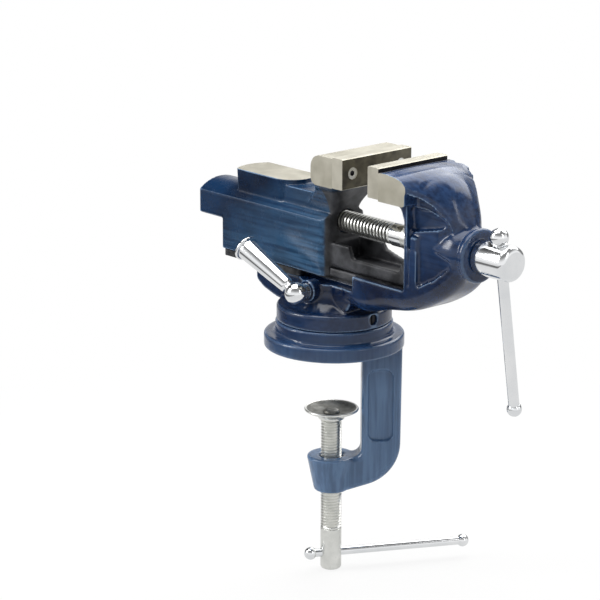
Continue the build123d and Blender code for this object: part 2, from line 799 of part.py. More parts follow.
def moving_jaw_casting():
    box = extrude(crowned_section(box_back, box_bottom, box_bottom), amount=box_front - box_back)
    box = fillet(edges_along(box, Axis.Z, lambda c: c.X > box_front - 0.1), box_front_corner)
    box = fillet(edges_along(box, Axis.Z, lambda c: c.X < box_back + 0.1), 2.0)
    tail = extrude(crowned_section(tail_back, tail_bottom, tail_bottom - tail_belly_depth),
                   amount=box_back - tail_back + 5)
    tail = fillet(tail.edges().filter_by(Axis.Z).sort_by(Axis.X)[:2], 1.5)
    body = box + tail + anvil() + jaw_neck() + moving_head()
    body -= block(cavity_back, cavity_front, -cavity_half_width, cavity_half_width,
                  box_bottom - 1, cavity_top)
    body -= block(cavity_front - 1, box_front + 1, -cavity_half_width, cavity_half_width,
                  box_bottom - 1, tongue_top + slide_lift)
    body += slide_bar()
    body -= cylinder_x(casting_bore_radius, box_back - (tail_bore_depth + box_back),
                       box_front + 4, z=spindle_height)
    body -= nut_block(nut_pocket_clearance, cavity_top - 1)
    for x in nut_screw_positions():
        body -= cylinder_z(nut_screw_radius, cavity_top - 1, cavity_top + nut_screw_reach, x)
    for x in keeper_screw_positions():
        for side in (-1, 1):
            body -= cylinder_z(keeper_screw_radius, box_bottom - 1,
                               box_bottom + keeper_screw_length - keeper_thickness, x,
                               side * keeper_screw_line())
    body -= plate_screw_holes(moving_plate_face - plate_thickness + 1, -1)
    return body


def keeper_screw_line():
    """Distance of the keeper screws from the middle: the centre of the skirt's wall."""
    return (cavity_half_width + box_half_width) / 2


def keeper_screw_positions():
    step = (keeper_front - keeper_back) / keeper_screw_count
    return [keeper_back + step * (i + 0.5) for i in range(keeper_screw_count)]


def keeper(side):
    """Strip under one skirt that hooks below the tongue."""
    y = sorted((side * keeper_inner, side * box_half_width))
    strip = block(keeper_back, keeper_front, y[0], y[1], box_bottom - keeper_thickness, box_bottom)
    strip = fillet(edges_along(strip, Axis.Z, lambda c: abs(c.Y) > keeper_inner + 1), 3.0)
    for x in keeper_screw_positions():
        strip -= cylinder_z(keeper_screw_radius, box_bottom - keeper_thickness - 1,
                            box_bottom + 1, x, side * keeper_screw_line())
    return strip


def keeper_screws():
    screws = []
    for side in (-1, 1):
        for x in keeper_screw_positions():
            base = box_bottom - keeper_thickness + 0.4
            screws.append(cylinder_z(keeper_screw_radius, base,
                                     base + keeper_screw_length - 1.0, x,
                                     side * keeper_screw_line()))
    return Compound(children=screws)


def nut_screw_positions():
    return [nut_back - nut_foot_overhang / 2, nut_back + nut_length + nut_foot_overhang / 2]


def nut_block(margin, bottom):
    """Round-topped block of the nut; with a margin it is the cutter for the nut's pocket."""
    start = nut_back - margin
    end = nut_back + nut_length + margin
    half = nut_half_width + margin
    return block(start, end, -half, half, bottom, spindle_height) + cylinder_x(
        half, start, end, z=spindle_height)


def spindle_nut():
    foot_top = cavity_top
    foot_bottom = foot_top - nut_foot_thickness
    nut = nut_block(0, foot_bottom)
    nut += block(nut_back - nut_foot_overhang, nut_back + nut_length + nut_foot_overhang,
                 -nut_foot_half_width, nut_foot_half_width, foot_bottom, foot_top)
    nut -= cylinder_x(spindle_diameter / 2 + nut_bore_clearance, nut_back - 1,
                      nut_back + nut_length + 1, z=spindle_height)
    for x in nut_screw_positions():
        nut -= cylinder_z(nut_screw_radius, foot_bottom - 1, foot_top + 1, x)
    return nut


def nut_screws():
    screws = []
    base = cavity_top - nut_foot_thickness
    for x in nut_screw_positions():
        screw = cylinder_z(nut_screw_head_radius, base - nut_screw_head_height, base, x)
        screw += cylinder_z(nut_screw_radius, base, cavity_top + nut_screw_reach - 0.5, x)
        screw -= Pos(x, 0, base - nut_screw_head_height) * extrude(
            RegularPolygon(2.0, 6), amount=2.0)
        screws.append(screw)
    return Compound(children=screws)


# ---------------------------------------------------------------- spindle

def spindle():
    start = barrel_end + spindle_shoulder_gap
    shaft = cylinder_x(spindle_diameter / 2, spindle_tip, start + 2, z=spindle_height)
    shaft = chamfer(shaft.edges().sort_by(Axis.X)[0], 1.2)
    head = cylinder_x(spindle_head_radius, start, start + spindle_head_length, z=spindle_height)
    head = fillet(head.edges().sort_by(Axis.X)[-1], spindle_head_edge)
    head = fillet(head.edges().sort_by(Axis.X)[0], 1.5)
    body = shaft + head
    reach = 2 * spindle_head_radius
    body -= spindle_bar_axis() * cylinder_z(spindle_bar_diameter / 2 + bar_clearance,
                                            -reach, reach)
    seat = spindle_bar_upper_knob / 2 + 0.3
    for end in (1, -1):
        body -= spindle_bar_axis() * Pos(0, 0, end * spindle_bar_seat) * Sphere(seat)
    body -= retaining_pin_hole()
    return body


def spindle_bar_axis():
    """Frame of the tommy bar: Z along the bar, origin on the spindle axis."""
    return Pos(spindle_bar_position, 0, spindle_height) * Rot(spindle_bar_tilt, 0, 0)


def retaining_pin_hole():
    x = post_front - 0.5 - retaining_collar_length / 2
    reach = retaining_collar_radius + 1
    return cylinder_z(retaining_pin_radius, spindle_height - reach, spindle_height + reach, x)


def retaining_collar():
    end = post_front - 0.5
    ring = cylinder_x(retaining_collar_radius, end - retaining_collar_length, end, z=spindle_height)
    ring = chamfer(ring.edges(), 0.5)
    ring -= cylinder_x(spindle_diameter / 2, end - retaining_collar_length - 1, end + 1,
                       z=spindle_height)
    return ring - retaining_pin_hole()


def retaining_pin():
    x = post_front - 0.5 - retaining_collar_length / 2
    reach = retaining_collar_radius - 0.3
    return cylinder_z(retaining_pin_radius, spindle_height - reach, spindle_height + reach, x)


def spindle_bar():
    low = spindle_bar_seat - spindle_bar_spacing
    rod = cylinder_z(spindle_bar_diameter / 2, low, spindle_bar_seat)
    return spindle_bar_axis() * rod


def spindle_bar_knobs():
    """Upper and lower knobs, bored for the rod."""
    knobs = []
    rod = spindle_bar()
    ends = ((spindle_bar_seat, spindle_bar_upper_knob),
            (spindle_bar_seat - spindle_bar_spacing, spindle_bar_lower_knob))
    for height, diameter in ends:
        ball = spindle_bar_axis() * Pos(0, 0, height) * Sphere(diameter / 2)
        knobs.append(ball - rod)
    return knobs


# ---------------------------------------------------------------- lock lever

def lock_shoe():
    """Brass plug whose cone nose bears in the spigot's upper groove."""
    nose = spigot_radius - groove_depth + lock_nose_gap
    body = spigot_radius + lock_gap
    flank = groove_half_height / groove_depth
    shoe = cylinder_y(lock_screw_radius - 0.25, -lock_screw_start(), -body,
                      lock_position, lock_height)
    tip = Pos(lock_position, -nose, lock_height) * Rot(90, 0, 0) * Cone(
        0.3, 0.3 + (body - nose) * flank - 0.2, body - nose,
        align=(Align.CENTER, Align.CENTER, Align.MIN))
    return shoe + tip


def lock_screw_start():
    """Distance of the lock screw's inner end from the middle plane."""
    return spigot_radius + lock_gap + lock_shoe_length


def lock_screw():
    x = lock_position
    z = lock_height
    screw = cylinder_y(lock_screw_radius, -lock_hub_distance, -lock_screw_start(), x, z)
    screw += Pos(x, -lock_hub_distance, z) * Sphere(lock_hub_radius)
    collar = cylinder_y(lock_screw_radius + 1.4, -lock_hub_distance, -lock_boss_end - 0.6, x, z)
    return screw + collar


def lock_lever():
    """Tapered chrome handle that ends in a flanged cap."""
    root = lock_hub_radius - 1.0
    end = lock_lever_length
    cap = lock_lever_cap_radius
    with BuildSketch(Plane.XZ) as sketch:
        with BuildLine():
            Polyline((cap - 1.5, end), (cap, end - 1.6), (cap, end - 3.2),
                     (lock_lever_end_radius, end - 5.0), (lock_lever_root_radius, root),
                     (0, root), (0, end + 1.8))
            ThreePointArc((0, end + 1.8), (cap * 0.45, end + 1.4), (cap - 1.5, end))
        make_face()
    handle = revolve(sketch.sketch, Axis.Z)
    handle = Pos(lock_position, -lock_hub_distance, lock_height) * Rot(
        0, lock_lever_rise - 90, 0) * handle
    return handle - Pos(lock_position, -lock_hub_distance, lock_height) * Sphere(lock_hub_radius)


# ---------------------------------------------------------------- clamp screw

def clamp_place():
    """Frame of the clamp screw: Z up along its axis."""
    return clamp_axis * Pos(clamp_screw_offset, 0, 0)


def clamp_pad():
    top = -pad_height_below_bench
    low = top - pad_height
    r = pad_diameter / 2
    pad = turned([
        (pad_hole_radius, top - pad_dish_depth), (pad_dish_flat, top - pad_dish_depth),
        (r - 3.6, top - pad_dish_depth * 0.5),
        (r - 1.2, top), (r, top), (r, top - pad_rim), (r - 2.2, top - pad_rim - 1.1),
        (pad_neck_radius, low + 1.2), (pad_neck_radius, low),
        (pad_hole_radius + 0.8, low), (pad_hole_radius, top - pad_dish_depth - 1.6)])
    return clamp_place() * pad


def pad_rivet():
    face = -pad_height_below_bench - pad_dish_depth + pad_play
    head = turned([(0, face), (rivet_head_radius, face),
                   (rivet_head_radius - 0.8, face + rivet_head_height * 0.7),
                   (rivet_head_radius * 0.5, face + rivet_head_height),
                   (0, face + rivet_head_height)])
    low = -pad_height_below_bench - pad_height - rivet_shank_depth
    return clamp_place() * (head + cylinder_z(rivet_shank_radius, low, face + 0.1))


def clamp_screw_top():
    return -pad_height_below_bench - pad_height - pad_play


def clamp_bar_frame():
    """Frame of the clamp's tommy bar: Z along the long end, origin on the screw axis."""
    low = clamp_screw_top() - clamp_screw_length
    turn = clamp_bar_heading - clamp_heading
    return clamp_place() * Pos(0, 0, low + clamp_bar_from_end) * Rot(0, 0, turn) * Rot(0, 90, 0)


def clamp_screw():
    top = clamp_screw_top()
    low = top - clamp_screw_length
    r = clamp_screw_diameter / 2
    screw = cylinder_z(r, low, top)
    screw = chamfer(screw.edges().sort_by(Axis.Z)[-1], clamp_screw_nose)
    screw = fillet(screw.edges().sort_by(Axis.Z)[0], 2.0)
    screw -= cylinder_z(rivet_shank_radius + 0.05, top - rivet_shank_depth - 1, top + 1)
    screw = clamp_place() * screw
    hole = cylinder_z(clamp_bar_diameter / 2 + bar_clearance, -clamp_screw_diameter,
                      clamp_screw_diameter)
    return screw - clamp_bar_frame() * hole


def clamp_bar():
    rod = cylinder_z(clamp_bar_diameter / 2, -clamp_bar_short_end,
                     clamp_bar_spacing - clamp_bar_short_end)
    return clamp_bar_frame() * rod


def clamp_bar_knobs():
    knobs = []
    rod = clamp_bar()
    for place in (-clamp_bar_short_end, clamp_bar_spacing - clamp_bar_short_end):
        ball = clamp_bar_frame() * Pos(0, 0, place) * Sphere(clamp_knob_diameter / 2)
        knobs.append(ball - rod)
    return knobs


def main():
    os.makedirs("parts", exist_ok=True)
    upper_knob, lower_knob = spindle_bar_knobs()
    short_knob, long_knob = clamp_bar_knobs()
    parts = {
        "clamp_frame": clamp_frame(),
        "pivot_spigot": pivot_spigot(),
        "thrust_washer": thrust_washer(),
        "swivel_body": swivel_body(),
        "swivel_grub_screw": grub_screw(),
        "fixed_jaw_plate": jaw_plate(fixed_plate_face, 1),
        "fixed_jaw_screws": jaw_screws(fixed_plate_face, 1),
        "moving_jaw_casting": moving_jaw_casting(),
        "moving_jaw_plate": jaw_plate(moving_plate_face, -1),
        "moving_jaw_screws": jaw_screws(moving_plate_face, -1),
        "front_keeper": keeper(-1),
        "rear_keeper": keeper(1),
        "keeper_screws": keeper_screws(),
        "spindle_nut": spindle_nut(),
        "nut_screws": nut_screws(),
        "spindle": spindle(),
        "retaining_collar": retaining_collar(),
        "retaining_pin": retaining_pin(),
        "spindle_bar": spindle_bar(),
        "spindle_bar_upper_knob": upper_knob,
        "spindle_bar_lower_knob": lower_knob,
        "lock_shoe": lock_shoe(),
        "lock_screw": lock_screw(),
        "lock_lever": lock_lever(),
        "clamp_pad": clamp_pad(),
        "pad_rivet": pad_rivet(),
        "clamp_screw": clamp_screw(),
        "clamp_bar": clamp_bar(),
        "clamp_bar_short_knob": short_knob,
        "clamp_bar_long_knob": long_knob,
    }
    for name, shape in parts.items():
        export_step(shape, f"parts/{name}.step")


main()
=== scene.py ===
import math
import bmesh
import bpy
import numpy as np
from mathutils import Matrix, Vector


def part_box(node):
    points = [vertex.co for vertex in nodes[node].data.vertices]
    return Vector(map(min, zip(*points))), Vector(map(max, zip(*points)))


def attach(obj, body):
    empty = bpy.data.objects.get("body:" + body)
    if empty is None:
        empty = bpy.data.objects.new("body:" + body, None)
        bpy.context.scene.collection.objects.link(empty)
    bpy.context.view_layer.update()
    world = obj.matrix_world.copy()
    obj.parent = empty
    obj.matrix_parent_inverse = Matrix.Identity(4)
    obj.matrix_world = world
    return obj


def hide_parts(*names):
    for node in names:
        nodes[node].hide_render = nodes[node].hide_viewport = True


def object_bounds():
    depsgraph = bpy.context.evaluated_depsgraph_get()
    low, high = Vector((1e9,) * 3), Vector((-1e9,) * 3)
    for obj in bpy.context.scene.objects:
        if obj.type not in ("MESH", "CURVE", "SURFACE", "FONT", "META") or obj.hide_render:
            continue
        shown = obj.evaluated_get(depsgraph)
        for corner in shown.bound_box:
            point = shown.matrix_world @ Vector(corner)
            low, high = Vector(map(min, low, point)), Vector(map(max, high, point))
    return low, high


# Looks of a clamp-on swivel bench vise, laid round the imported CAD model. Metres throughout.
# The spindle runs along x with its head at the high end, z is up, and the vise swivels
# about the z axis.

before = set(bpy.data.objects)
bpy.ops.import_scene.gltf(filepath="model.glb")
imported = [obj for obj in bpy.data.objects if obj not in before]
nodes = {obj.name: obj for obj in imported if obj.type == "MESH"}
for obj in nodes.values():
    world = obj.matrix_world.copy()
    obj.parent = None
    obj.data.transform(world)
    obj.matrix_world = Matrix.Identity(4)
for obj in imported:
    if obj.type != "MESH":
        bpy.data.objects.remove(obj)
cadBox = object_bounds()
scene = bpy.context.scene
mm = 0.001
alongX, alongZ = (1, 0, 0), (0, 0, 1)
print("frame loaded:", len(nodes), "nodes")


# materials

def linearColour(hexCode):
    # sRGB hex to the linear values that shaders work in
    srgb = np.array([int(hexCode[i:i + 2], 16) for i in (1, 3, 5)]) / 255
    linear = np.where(srgb <= 0.04045, srgb / 12.92, ((srgb + 0.055) / 1.055) ** 2.4)
    return (*linear.tolist(), 1.0)


def addNode(tree, kind, output, inputs=None, **settings):
    # One node: its properties set, each input linked to a socket or given its value. In a Mix
    # node socket 0 is the factor, 2 and 3 are numbers, 6 and 7 colours, and output 2 a colour.
    node = tree.nodes.new(kind)
    for key, value in settings.items():
        setattr(node, key, value)
    for key, value in (inputs or {}).items():
        if isinstance(value, bpy.types.NodeSocket):
            tree.links.new(value, node.inputs[key])
        else:
            node.inputs[key].default_value = value
    return node.outputs[output] if output is not None else node


def startMaterial(name, surface):
    # a Principled shader with its plain sockets set, and Object coordinates to draw on
    material = bpy.data.materials.new(name)
    material.use_nodes = True
    tree = material.node_tree
    shader = tree.nodes["Principled BSDF"]
    for socket, value in surface.items():
        shader.inputs[socket].default_value = value
    return material, tree, shader, addNode(tree, "ShaderNodeTexCoord", "Object")


enamelLooks = {
    # Stoving enamel sprayed over a rough sand casting and baked. The eye gets a deep navy gloss
    # with soft waves from the casting below, streaks where it was dressed with a file before
    # painting, fine orange peel, and painted highlights on its edges. A paler tone is painted
    # high on the jaw and low on the collar as painted reflection.
    "navyStovingEnamel": {
        "body": "#0b284d", "deep": "#05122d", "thin": "#2b4670", "edge": "#8cabd0",
        "slope": (0, 0, 9.0), "fold": 0.42, "slopeFrom": 0.46, "slopeTo": 1.1},
    # The same enamel on the box of the moving jaw, with painted light towards its lower front
    # corner.
    "jawPaintedLightNavyEnamel": {
        "body": "#08294a", "deep": "#041831", "thin": "#41678a", "edge": "#8cabd0",
        "slope": (9.0, 0, -16.0), "slopeFrom": -2.1, "slopeTo": -1.05,
        "smooth": 0.17, "dull": 0.32, "specular": 0.28},
    # The same enamel on the clamp casting: greyer low down, in upright streaks, as painted
    # reflection.
    "paleNavyStovingEnamel": {
        "body": "#12325a", "deep": "#0a2145", "thin": "#5d7b9f", "edge": "#6f8db3",
        "slope": (0, 0, -20.0), "slopeFrom": -0.35, "slopeTo": 0.6,
        "streak": 3.4 * mm, "streakStretch": (1, 1, 0.07), "streakLeast": 0.55},
}
enamelCoat = {
    # what all three share unless a look above says otherwise
    "ior": 1.5, "specular": 0.5, "smooth": 0.1, "dull": 0.26,
    # clouds of thick and thin coat: size, and the span of noise that counts
    "cloud": 24 * mm, "cloudSpan": (0.36, 0.64),
    # slope is how fast the painted light grows per metre of x, y and z; from fold it is counted
    # both ways, and with a fold as low as this one way only
    "fold": -5.0,
    # file streaks under the coat, wider than real ones of some 0.5 mm so that they show
    "streak": 2.6 * mm, "streakStretch": (0.045, 1, 1), "streakSpan": (0.38, 0.6),
    "streakLeast": 0.25, "streakMost": 0.85,
    # painted highlights on edges, by how sharply the surface bends
    "edgeSpan": (0.522, 0.57), "edgeShare": 0.85,
    # patches of gloss, and of old grease with painted shade
    "patch": 9 * mm, "glossSpan": (0.3, 0.7), "greaseAndShadeSpan": (0.35, 0.65),
    "greaseAndShade": ("#47484c", "#1b1c20"), "greaseAndShadeGloss": 0.42,
    # size and depth of the sand casting's waves, the file's marks and the orange peel; the
    # marks are drawn coarser than real ones, which are some 0.3 mm apart
    "cast": (7.0 * mm, 0.14 * mm), "brush": (1.3 * mm, 0.03 * mm), "peel": (1.1 * mm, 0.01 * mm),
    "brushStretch": (0.1, 1, 1),
}


def makeEnamel(name, look):
    # colour from soft clouds and long streaks, painted light along slope and on sharp edges, and
    # black-grey with old grease and painted shade where the mesh's greaseAndShade attribute says
    # so
    coat = {**enamelCoat, **look}
    material, tree, shader, place = startMaterial(
        name, {"IOR": coat["ior"], "Specular IOR Level": coat["specular"]})
    stretched = addNode(tree, "ShaderNodeMapping", "Vector", {
        "Vector": place, "Scale": coat["streakStretch"]})
    brushed = addNode(tree, "ShaderNodeMapping", "Vector", {
        "Vector": place, "Scale": coat["brushStretch"]})
    cloud = addNode(tree, "ShaderNodeTexNoise", "Fac", {
        "Vector": place, "Scale": 1 / coat["cloud"], "Detail": 3.0})
    cloud = addNode(tree, "ShaderNodeMapRange", "Result", {
        "Value": cloud, "From Min": coat["cloudSpan"][0], "From Max": coat["cloudSpan"][1]})
    colour = addNode(tree, "ShaderNodeMix", 2, {
        0: cloud, 6: linearColour(coat["deep"]), 7: linearColour(coat["body"])},
        data_type="RGBA")
    # how much painted light: the distance from fold along slope, times the streaks
    paintedLightRamp = addNode(tree, "ShaderNodeVectorMath", "Value", {0: place, 1: coat["slope"]},
                   operation="DOT_PRODUCT")
    paintedLightRamp = addNode(tree, "ShaderNodeMath", 0, {0: paintedLightRamp, 1: coat["fold"]}, operation="SUBTRACT")
    paintedLightRamp = addNode(tree, "ShaderNodeMath", 0, {0: paintedLightRamp}, operation="ABSOLUTE")
    paintedLightRamp = addNode(tree, "ShaderNodeMath", 0, {0: paintedLightRamp, 1: coat["fold"]}, operation="ADD")
    paintedLightRamp = addNode(tree, "ShaderNodeMapRange", "Result", {
        "Value": paintedLightRamp, "From Min": coat["slopeFrom"], "From Max": coat["slopeTo"]})
    streak = addNode(tree, "ShaderNodeTexNoise", "Fac", {
        "Vector": stretched, "Scale": 1 / coat["streak"], "Detail": 4.0})
    streak = addNode(tree, "ShaderNodeMapRange", "Result", {
        "Value": streak, "From Min": coat["streakSpan"][0], "From Max": coat["streakSpan"][1],
        "To Min": coat["streakLeast"], "To Max": coat["streakMost"]})
    thinner = addNode(tree, "ShaderNodeMath", 0, {0: paintedLightRamp, 1: streak}, operation="MULTIPLY")
    colour = addNode(tree, "ShaderNodeMix", 2, {
        0: thinner, 6: colour, 7: linearColour(coat["thin"])}, data_type="RGBA")
    # painted highlight where the surface bends sharply
    pointy = addNode(tree, "ShaderNodeNewGeometry", "Pointiness")
    paintedLightEdge = addNode(tree, "ShaderNodeMapRange", "Result", {
        "Value": pointy, "From Min": coat["edgeSpan"][0], "From Max": coat["edgeSpan"][1],
        "To Min": 0.0, "To Max": coat["edgeShare"]})
    colour = addNode(tree, "ShaderNodeMix", 2, {
        0: paintedLightEdge, 6: colour, 7: linearColour(coat["edge"])}, data_type="RGBA")
    patch = addNode(tree, "ShaderNodeTexNoise", "Fac", {
        "Vector": place, "Scale": 1 / coat["patch"], "Detail": 4.0})
    greaseShadeTone = addNode(tree, "ShaderNodeMapRange", "Result", {
        "Value": patch, "From Min": coat["greaseAndShadeSpan"][0], "From Max": coat["greaseAndShadeSpan"][1]})
    greaseShadeTone = addNode(tree, "ShaderNodeMix", 2, {
        0: greaseShadeTone, 6: linearColour(coat["greaseAndShade"][0]), 7: linearColour(coat["greaseAndShade"][1])},
        data_type="RGBA")
    # old grease and painted shade, where the mesh's attribute says so
    greaseAndShade = addNode(tree, "ShaderNodeAttribute", "Fac", attribute_name="greaseAndShade")
    colour = addNode(tree, "ShaderNodeMix", 2, {0: greaseAndShade, 6: colour, 7: greaseShadeTone},
                     data_type="RGBA")
    tree.links.new(colour, shader.inputs["Base Color"])
    gloss = addNode(tree, "ShaderNodeMapRange", "Result", {
        "Value": patch, "From Min": coat["glossSpan"][0], "From Max": coat["glossSpan"][1],
        "To Min": coat["smooth"], "To Max": coat["dull"]})
    gloss = addNode(tree, "ShaderNodeMix", 0, {0: greaseAndShade, 2: gloss, 3: coat["greaseAndShadeGloss"]})
    tree.links.new(gloss, shader.inputs["Roughness"])
    normal = None
    for wave, where in (("cast", place), ("brush", brushed), ("peel", place)):
        size, depth = coat[wave]
        bump = {"Distance": depth, "Height": addNode(tree, "ShaderNodeTexNoise", "Fac", {
            "Vector": where, "Scale": 1 / size, "Detail": 2.0})}
        if normal:
            bump["Normal"] = normal
        normal = addNode(tree, "ShaderNodeBump", "Normal", bump)
    tree.links.new(normal, shader.inputs["Normal"])
    return material


metalShares = {"stainSpan": (0.35, 0.65), "markSpan": (0.3, 0.7)}


def makeMetal(name, look):
    # bare or plated metal: two tones in soft stains, uneven gloss, and tool marks along one way;
    # a thread along x may have grease and painted shade in its grooves, between two distances
    # from its axis
    material, tree, shader, place = startMaterial(name, {"Metallic": 1.0})
    low, high = metalShares["stainSpan"]
    stain = addNode(tree, "ShaderNodeTexNoise", "Fac", {
        "Vector": place, "Scale": 1 / look["stain"], "Detail": 3.0})
    stain = addNode(tree, "ShaderNodeMapRange", "Result", {
        "Value": stain, "From Min": low, "From Max": high})
    colour = addNode(tree, "ShaderNodeMix", 2, {
        0: stain, 6: linearColour(look["light"]), 7: linearColour(look["dark"])},
        data_type="RGBA")
    if "groove" in look:
        centre, root, top = look["groove"]
        away = addNode(tree, "ShaderNodeVectorMath", 0, {0: place, 1: centre},
                       operation="SUBTRACT")
        away = addNode(tree, "ShaderNodeVectorMath", 0, {0: away, 1: (0, 1, 1)},
                       operation="MULTIPLY")
        away = addNode(tree, "ShaderNodeVectorMath", "Value", {0: away}, operation="LENGTH")
        depth = addNode(tree, "ShaderNodeMapRange", "Result", {
            "Value": away, "From Min": root, "From Max": top, "To Min": 1.0, "To Max": 0.0})
        colour = addNode(tree, "ShaderNodeMix", 2, {
            0: depth, 6: colour, 7: linearColour(look["greaseShadeTone"])}, data_type="RGBA")
    tree.links.new(colour, shader.inputs["Base Color"])
    low, high = metalShares["markSpan"]
    stretched = addNode(tree, "ShaderNodeMapping", "Vector", {
        "Vector": place, "Scale": look["stretch"]})
    marks = addNode(tree, "ShaderNodeTexNoise", "Fac", {
        "Vector": stretched, "Scale": 1 / look["marks"], "Detail": 3.0, "Roughness": 0.6})
    gloss = addNode(tree, "ShaderNodeMapRange", "Result", {
        "Value": marks, "From Min": low, "From Max": high,
        "To Min": look["smooth"], "To Max": look["dull"]})
    tree.links.new(gloss, shader.inputs["Roughness"])
    normal = addNode(tree, "ShaderNodeBump", "Normal", {
        "Height": marks, "Distance": look["markDepth"]})
    tree.links.new(normal, shader.inputs["Normal"])
    return material


metalLooks = {
    # Stains are clouds of handling and oil. Marks are the tool's: a grinding wheel's lie some
    # 0.05 mm apart, and are drawn at the finest spacing that shows.
    # Cast iron ground flat on a wheel: pale grey-beige, satin, fine marks across the face.
    "groundCastIron": {
        "light": "#cac6b8", "dark": "#b5b1a2", "stain": 14 * mm, "smooth": 0.36, "dull": 0.54,
        "marks": 0.35 * mm, "markDepth": 0.006 * mm, "stretch": (1, 1, 0.06)},
    # Hardened jaw plate, surface ground: a little smoother than the casting beside it.
    "hardenedJawSteel": {
        "light": "#cfcbbd", "dark": "#bbb7a9", "stain": 12 * mm, "smooth": 0.36, "dull": 0.5,
        "marks": 0.35 * mm, "markDepth": 0.005 * mm, "stretch": (1, 0.06, 1)},
    # Turned steel under clear zinc plate: bright silver with a faint satin from the tool.
    "clearZincSteel": {
        "light": "#eaeae6", "dark": "#d8d9d5", "stain": 10 * mm, "smooth": 0.24, "dull": 0.38,
        "marks": 0.3 * mm, "markDepth": 0.003 * mm, "stretch": (1, 1, 1)},
    # Polished steel under chrome plate: near mirror, with the softest ripple.
    "chromePlate": {
        "light": "#f0f1f2", "dark": "#e6e8ea", "stain": 20 * mm, "smooth": 0.06, "dull": 0.13,
        "marks": 5 * mm, "markDepth": 0.01 * mm, "stretch": (1, 1, 1)},
    # Working face of a jaw plate, stained brown-grey by oil and use, and darker as painted shade.
    "stainedShadedJawSteel": {
        "light": "#716d5f", "dark": "#54514a", "stain": 8 * mm, "smooth": 0.35, "dull": 0.5,
        "marks": 0.5 * mm, "markDepth": 0.01 * mm, "stretch": (1, 0.08, 1)},
    # Inside of the pad's dish, worn dull by the underside of benches, and darker as painted
    # shade.
    "wornShadedPadSteel": {
        "light": "#8f8f8a", "dark": "#6a6964", "stain": 5 * mm, "smooth": 0.4, "dull": 0.6,
        "marks": 0.7 * mm, "markDepth": 0.02 * mm, "stretch": (1, 1, 1)},
    # Black oxide with oil on small fasteners: near black, dull shine. It is also painted shade
    # on the fixed jaw plate's back and inside the jaw screws' sockets.
    "blackOxideAndShadeSteel": {
        "light": "#3c3c3f", "dark": "#2a2a2d", "stain": 5 * mm, "smooth": 0.32, "dull": 0.5,
        "marks": 0.6 * mm, "markDepth": 0.006 * mm, "stretch": (1, 1, 1)},
    # Turned brass, a little dull from handling.
    "turnedBrass": {
        "light": "#bb9a5d", "dark": "#a5854c", "stain": 6 * mm, "smooth": 0.25, "dull": 0.4,
        "marks": 0.4 * mm, "markDepth": 0.004 * mm, "stretch": (1, 1, 1)},
    # Keepers: bare iron gone nearly black with old grease.
    "greasyCastIron": {
        "light": "#6f6f70", "dark": "#38393d", "stain": 7 * mm, "smooth": 0.28, "dull": 0.5,
        "marks": 0.9 * mm, "markDepth": 0.04 * mm, "stretch": (0.2, 1, 1)},
    # Milled iron that slides under oil: darker grey with long marks.
    "oiledSlideIron": {
        "light": "#8c8a82", "dark": "#716f68", "stain": 10 * mm, "smooth": 0.28, "dull": 0.45,
        "marks": 0.4 * mm, "markDepth": 0.006 * mm, "stretch": (0.05, 1, 1)},
}
metals = {name: makeMetal(name, look) for name, look in metalLooks.items()}
enamels = {name: makeEnamel(name, look) for name, look in enamelLooks.items()}
print("materials made")


# meshes

# how near points are joined in a CAD copy and in a made mesh, and how short an edge goes
joinWithin = {"copy": 0.003 * mm, "made": 0.004 * mm, "sliver": 0.002 * mm}


def pointsOf(mesh):
    # the mesh's vertices as rows of an array
    points = np.zeros(len(mesh.vertices) * 3, np.float32)
    mesh.vertices.foreach_get("co", points)
    return points.reshape(-1, 3).astype(float)


def movePoints(mesh, points):
    # puts an array's rows into the mesh's vertices
    mesh.vertices.foreach_set("co", points.astype(np.float32).ravel())


def nodePoints(node):
    return pointsOf(nodes[node].data)


def mergedCopy(node, points=None):
    # a copy of a CAD node's mesh, moved to other points if given, with its triangles joined
    mesh = nodes[node].data.copy()
    if points is not None:
        movePoints(mesh, points)
    work = bmesh.new()
    work.from_mesh(mesh)
    bmesh.ops.remove_doubles(work, verts=work.verts, dist=joinWithin["copy"])
    work.to_mesh(mesh)
    work.free()
    return mesh


def meshFrom(name, points, faces):
    # a mesh from arrays of points and faces, doubles merged and faces turned outwards
    mesh = bpy.data.meshes.new(name)
    mesh.from_pydata(points.tolist(), [], faces.tolist())
    work = bmesh.new()
    work.from_mesh(mesh)
    bmesh.ops.remove_doubles(work, verts=work.verts, dist=joinWithin["made"])
    bmesh.ops.dissolve_degenerate(work, edges=work.edges, dist=joinWithin["sliver"])
    bmesh.ops.recalc_face_normals(work, faces=work.faces)
    work.to_mesh(mesh)
    work.free()
    return mesh


def addPiece(name, mesh, body, materials, replaced=(), crease=35):
    # an object at the origin that rides on its body, smooth but for edges sharper than crease
    piece = bpy.data.objects.new(name, mesh)
    scene.collection.objects.link(piece)
    mesh.materials.clear()
    for material in materials:
        mesh.materials.append(material)
    mesh.shade_smooth()
    mesh.set_sharp_from_angle(angle=math.radians(crease))
    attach(piece, body)
    if replaced:
        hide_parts(*replaced)
    return piece


def secondFinish(mesh, chosen):
    # gives the second material to the faces whose centres and normals pass the test chosen
    centres = np.zeros(len(mesh.polygons) * 3, np.float32)
    normals = np.zeros(len(mesh.polygons) * 3, np.float32)
    mesh.polygons.foreach_get("center", centres)
    mesh.polygons.foreach_get("normal", normals)
    picked = chosen(centres.reshape(-1, 3), normals.reshape(-1, 3))
    mesh.polygons.foreach_set("material_index", picked.astype(np.int32))


def gridFaces(rows, columns, ring=True):
    # quads between neighbouring points of a grid; in a ring the last column meets the first
    spans = columns if ring else columns - 1
    i, j = np.meshgrid(np.arange(rows - 1), np.arange(spans), indexing="ij")
    across = (j + 1) % columns
    return np.stack([i * columns + j, i * columns + across,
                     (i + 1) * columns + across, (i + 1) * columns + j], -1).reshape(-1, 4)


